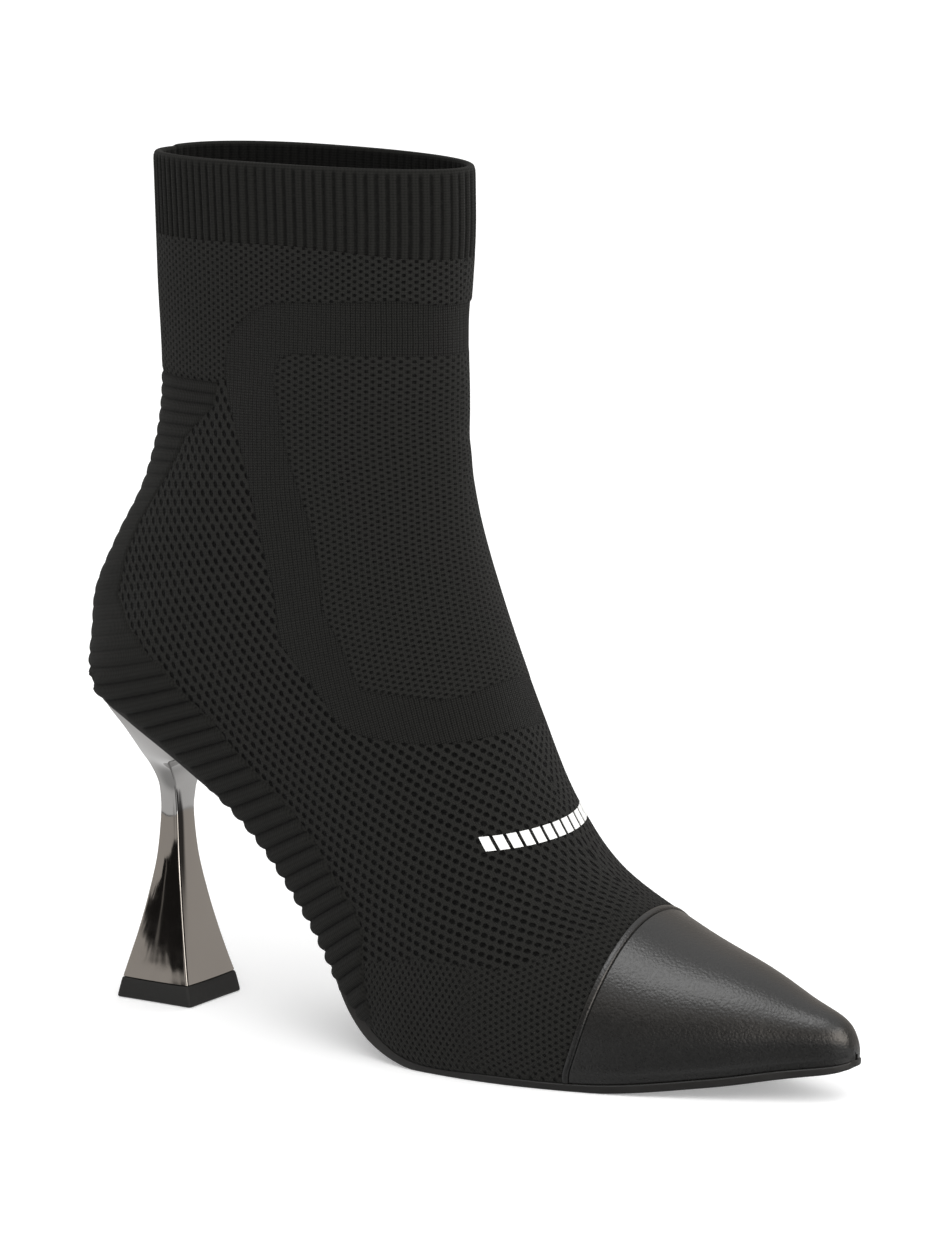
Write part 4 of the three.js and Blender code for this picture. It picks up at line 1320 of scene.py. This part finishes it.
def add_camera():
    """Camera at the photograph's angle, turned round its target and rolled a little."""
    turn, lift, roll = (math.radians(v) for v in (CAMERA_TURN, CAMERA_LIFT, CAMERA_ROLL))
    back = Vector((math.sin(turn) * math.cos(lift), -math.cos(turn) * math.cos(lift), math.sin(lift)))
    right = Vector((math.cos(turn), math.sin(turn), 0))
    up = back.cross(right)
    right, up = (math.cos(roll) * right + math.sin(roll) * up, math.cos(roll) * up - math.sin(roll) * right)
    data = bpy.data.cameras.new("camera")
    data.lens = CAMERA_LENS
    data.sensor_width = 36
    data.clip_end = 100
    camera = bpy.data.objects.new("camera", data)
    bpy.context.scene.collection.objects.link(camera)
    place = (Vector(CAMERA_TARGET) + back * CAMERA_DISTANCE) * MM
    camera.matrix_world = Matrix.Translation(place) @ Matrix((right, up, back)).transposed().to_4x4()
    bpy.context.scene.camera = camera


def add_light(name, place, aim, size, power, size_y=None):
    """Soft rectangular light at a place, facing a point, both in metres."""
    data = bpy.data.lights.new(name, "AREA")
    data.energy = power
    data.shape = "RECTANGLE"
    data.size = size
    data.size_y = size_y or size
    light = bpy.data.objects.new(name, data)
    light.location = place
    light.rotation_euler = (Vector(aim) - Vector(place)).to_track_quat("-Z", "Y").to_euler()
    bpy.context.scene.collection.objects.link(light)
    return light


# The room that gloss sees, in degrees. A stretch has its turn from and to with its softness, its lift from
# and to with its softness, and the share of light that it takes or the light that it adds.
DARK_STRETCHES = ((-98, -50, 8, -60, 20, 10, 0.8), (25, 42, 3, -25, 30, 5, 0.9))
BRIGHT_STRETCHES = ((-62, -8, 2, -14, 14, 1, 1.8), (-40, 19, 7, 3, 48, 7, 4.0))
CLOTH_TURN, CLOTH_BOTTOM, CLOTH_TOP, CLOTH_RISE = (-139, -97), (-2.2, -3.5), 6.5, 0.19
HORIZON, OVERHEAD = 0.53, 0.95


def hanging_cloth(n, toward, turn, lift):
    """Dark ragged cloth in the room, with a paler gap in it, and a thin seam under it. Its lower edge steps
    down and its upper edge climbs with the turn, and its far edge bows out in the middle."""
    d = math.radians
    ragged = n.math("SUBTRACT", n.noise(toward, 14.0, 6.0, 0.65), 0.5)
    fine = n.math("SUBTRACT", n.noise(toward, 60.0, 4.0, 0.6), 0.5)
    turn_here = n.math("MULTIPLY_ADD", ragged, d(7), turn)
    lift_here = n.math("MULTIPLY_ADD", fine, d(2.2), lift)
    bottom = n.ramp(turn_here, d(-119), d(-107), *(d(v) for v in CLOTH_BOTTOM))
    top = n.math("MULTIPLY_ADD", turn_here, CLOTH_RISE, d(CLOTH_TOP + 131 * CLOTH_RISE))
    top = n.math("ADD", top, n.ramp(turn_here, d(-123), d(-117), 0.0, d(2.2)))
    middle = n.math("SUBTRACT", lift_here, d(4.5))
    bow = n.math("MINIMUM", n.math("MULTIPLY", n.math("MULTIPLY", middle, middle), 68.8), d(8))
    cloth = n.window(n.math("SUBTRACT", turn_here, bow), *(d(v) for v in CLOTH_TURN), d(0.4))
    soft = d(0.3)
    above = n.ramp(n.math("SUBTRACT", lift_here, bottom), -soft, soft)
    below = n.ramp(n.math("SUBTRACT", lift_here, top), -soft, soft, 1.0, 0.0)
    cloth = n.math("MULTIPLY", n.math("MULTIPLY", cloth, above), below)
    gap = n.window(turn_here, d(-125.8), d(-124.4), d(0.5))
    cloth = n.math("MULTIPLY", cloth, n.math("MULTIPLY_ADD", gap, -0.3, 1.0))
    seam = n.window(lift_here, d(-11.5), d(-11), d(0.2))
    return cloth, n.math("MULTIPLY", seam, n.ramp(turn, d(-105), d(-100), 1.0, 0.0))


def add_world(strength):
    """White surround, whose light comes mostly from the toe's side. Gloss sees it as a studio room instead:
    grey near the horizon, pale overhead and underfoot, with dark stretches on the camera's side, one of them
    ragged, and a narrow strip light."""
    world = bpy.data.worlds.new("surround")
    bpy.context.scene.world = world
    world.use_nodes = True
    n = Nodes(world.node_tree)
    toward = n.node("TexCoord")
    x, y, z = n.split(toward)
    turn = n.math("ARCTAN2", y, x)
    lift = n.math("ARCSINE", z)
    d = math.radians

    def stretch(row):
        turns, lifts = [d(v) for v in row[:3]], [d(v) for v in row[3:6]]
        return n.math("MULTIPLY", n.window(turn, *turns), n.window(lift, *lifts)), row[6]

    cloth, seam = hanging_cloth(n, toward, turn, lift)
    room = n.ramp(lift, d(15), d(60), HORIZON, OVERHEAD)
    room = n.math("ADD", room, n.ramp(lift, d(-13), d(-11), 0.25, 0.0))
    room = n.math("ADD", room, n.ramp(lift, d(-50), d(-25), -0.35, 0.0))
    for dark, share in ((cloth, 0.97), (seam, 0.8), *(stretch(row) for row in DARK_STRETCHES)):
        room = n.math("MULTIPLY", room, n.math("MULTIPLY_ADD", dark, -share, 1.0))
    for bright, added in (stretch(row) for row in BRIGHT_STRETCHES):
        room = n.math("MULTIPLY_ADD", bright, added, room)
    path = n.tree.nodes.new("ShaderNodeLightPath").outputs
    plain = n.tree.nodes["Background"]
    plain.inputs[0].default_value = (1, 1, 1, 1)
    from_right = n.ramp(x, -1.0, 1.0, 0.2, 1.8)
    share = n.node("Mix", path["Is Camera Ray"], None, from_right, 1.0)
    n.feed(plain.inputs[1], n.math("MULTIPLY", share, strength))
    seen = n.tree.nodes.new("ShaderNodeBackground")
    n.feed(seen.inputs[0], n.mix(n.window(lift, d(-11), d(40), d(1)), (1, 1, 1, 1), (1, 0.92, 0.84, 1)))
    n.feed(seen.inputs[1], room)
    both = n.node("MixShader", path["Is Glossy Ray"], plain.outputs[0], seen.outputs[0])
    n.feed(n.tree.nodes["World Output"].inputs[0], both)


class SCENE_OT_boot_stage(bpy.types.Operator):
    """Makes the floor, the lights and the camera"""

    bl_idname = "scene.boot_stage"
    bl_label = "Stage"

    def execute(self, context):
        stage = context.scene.boot_stage
        mesh = bpy.data.meshes.new("floor")
        reach, under = 20, -0.0002
        corners = [(-reach, -reach), (reach, -reach), (reach, reach), (-reach, reach)]
        mesh.from_pydata([(*corner, under) for corner in corners], [], [(0, 1, 2, 3)])
        paint = Finish(
            "floor", Base_Color=shade(stage.floor, 1.0), Roughness=0.9, Specular_IOR_Level=0.1,
            Emission_Color=(1, 1, 1, 1), Emission_Strength=0.3,
        )
        mesh.materials.append(paint.material)
        floor = bpy.data.objects.new("floor", mesh)
        floor.visible_glossy = False
        context.scene.collection.objects.link(floor)
        add_world(stage.surround)
        add_light("key", (0.85, -1.05, 1.5), (0.08, 0, 0.1), 1.4, stage.key).visible_glossy = False
        add_light("top", (0.17, -0.35, 1.3), (0.17, -0.05, 0), 0.9, stage.top, 0.9).visible_diffuse = False
        add_camera()
        context.scene.view_settings.view_transform = "Standard"
        return {"FINISHED"}


class VIEW3D_PT_boot(bpy.types.Panel):
    """Lists the pieces of the boot"""

    bl_label = "Knit Ankle Boot"
    bl_idname = "VIEW3D_PT_boot"
    bl_space_type = "VIEW_3D"
    bl_region_type = "UI"
    bl_category = "Boot"

    def draw(self, context):
        for group in (context.scene.boot_sizes, context.scene.boot_look, context.scene.boot_stage):
            box = self.layout.box()
            for name in group.__annotations__:
                box.prop(group, name)
        for operator in OPERATORS:
            self.layout.operator(operator.bl_idname)


OPERATORS = (
    OBJECT_OT_boot_sock,
    OBJECT_OT_boot_rand,
    OBJECT_OT_boot_collar,
    OBJECT_OT_boot_bars,
    OBJECT_OT_boot_toe_cap,
    OBJECT_OT_boot_sole,
    OBJECT_OT_boot_heel,
    SCENE_OT_boot_stage,
)
CLASSES = (BootSizes, BootLook, BootStage, *OPERATORS, VIEW3D_PT_boot)


def register():
    for cls in CLASSES:
        bpy.utils.register_class(cls)
    bpy.types.Scene.boot_sizes = bpy.props.PointerProperty(type=BootSizes)
    bpy.types.Scene.boot_look = bpy.props.PointerProperty(type=BootLook)
    bpy.types.Scene.boot_stage = bpy.props.PointerProperty(type=BootStage)


def unregister():
    for name in ("boot_sizes", "boot_look", "boot_stage"):
        delattr(bpy.types.Scene, name)
    for cls in reversed(CLASSES):
        bpy.utils.unregister_class(cls)


def main():
    register()
    bpy.ops.object.boot_sock()
    bpy.ops.object.boot_rand()
    bpy.ops.object.boot_collar()
    bpy.ops.object.boot_bars()
    bpy.ops.object.boot_toe_cap()
    bpy.ops.object.boot_sole()
    bpy.ops.object.boot_heel()
    bpy.ops.scene.boot_stage()


if __name__ == "__main__":
    main()
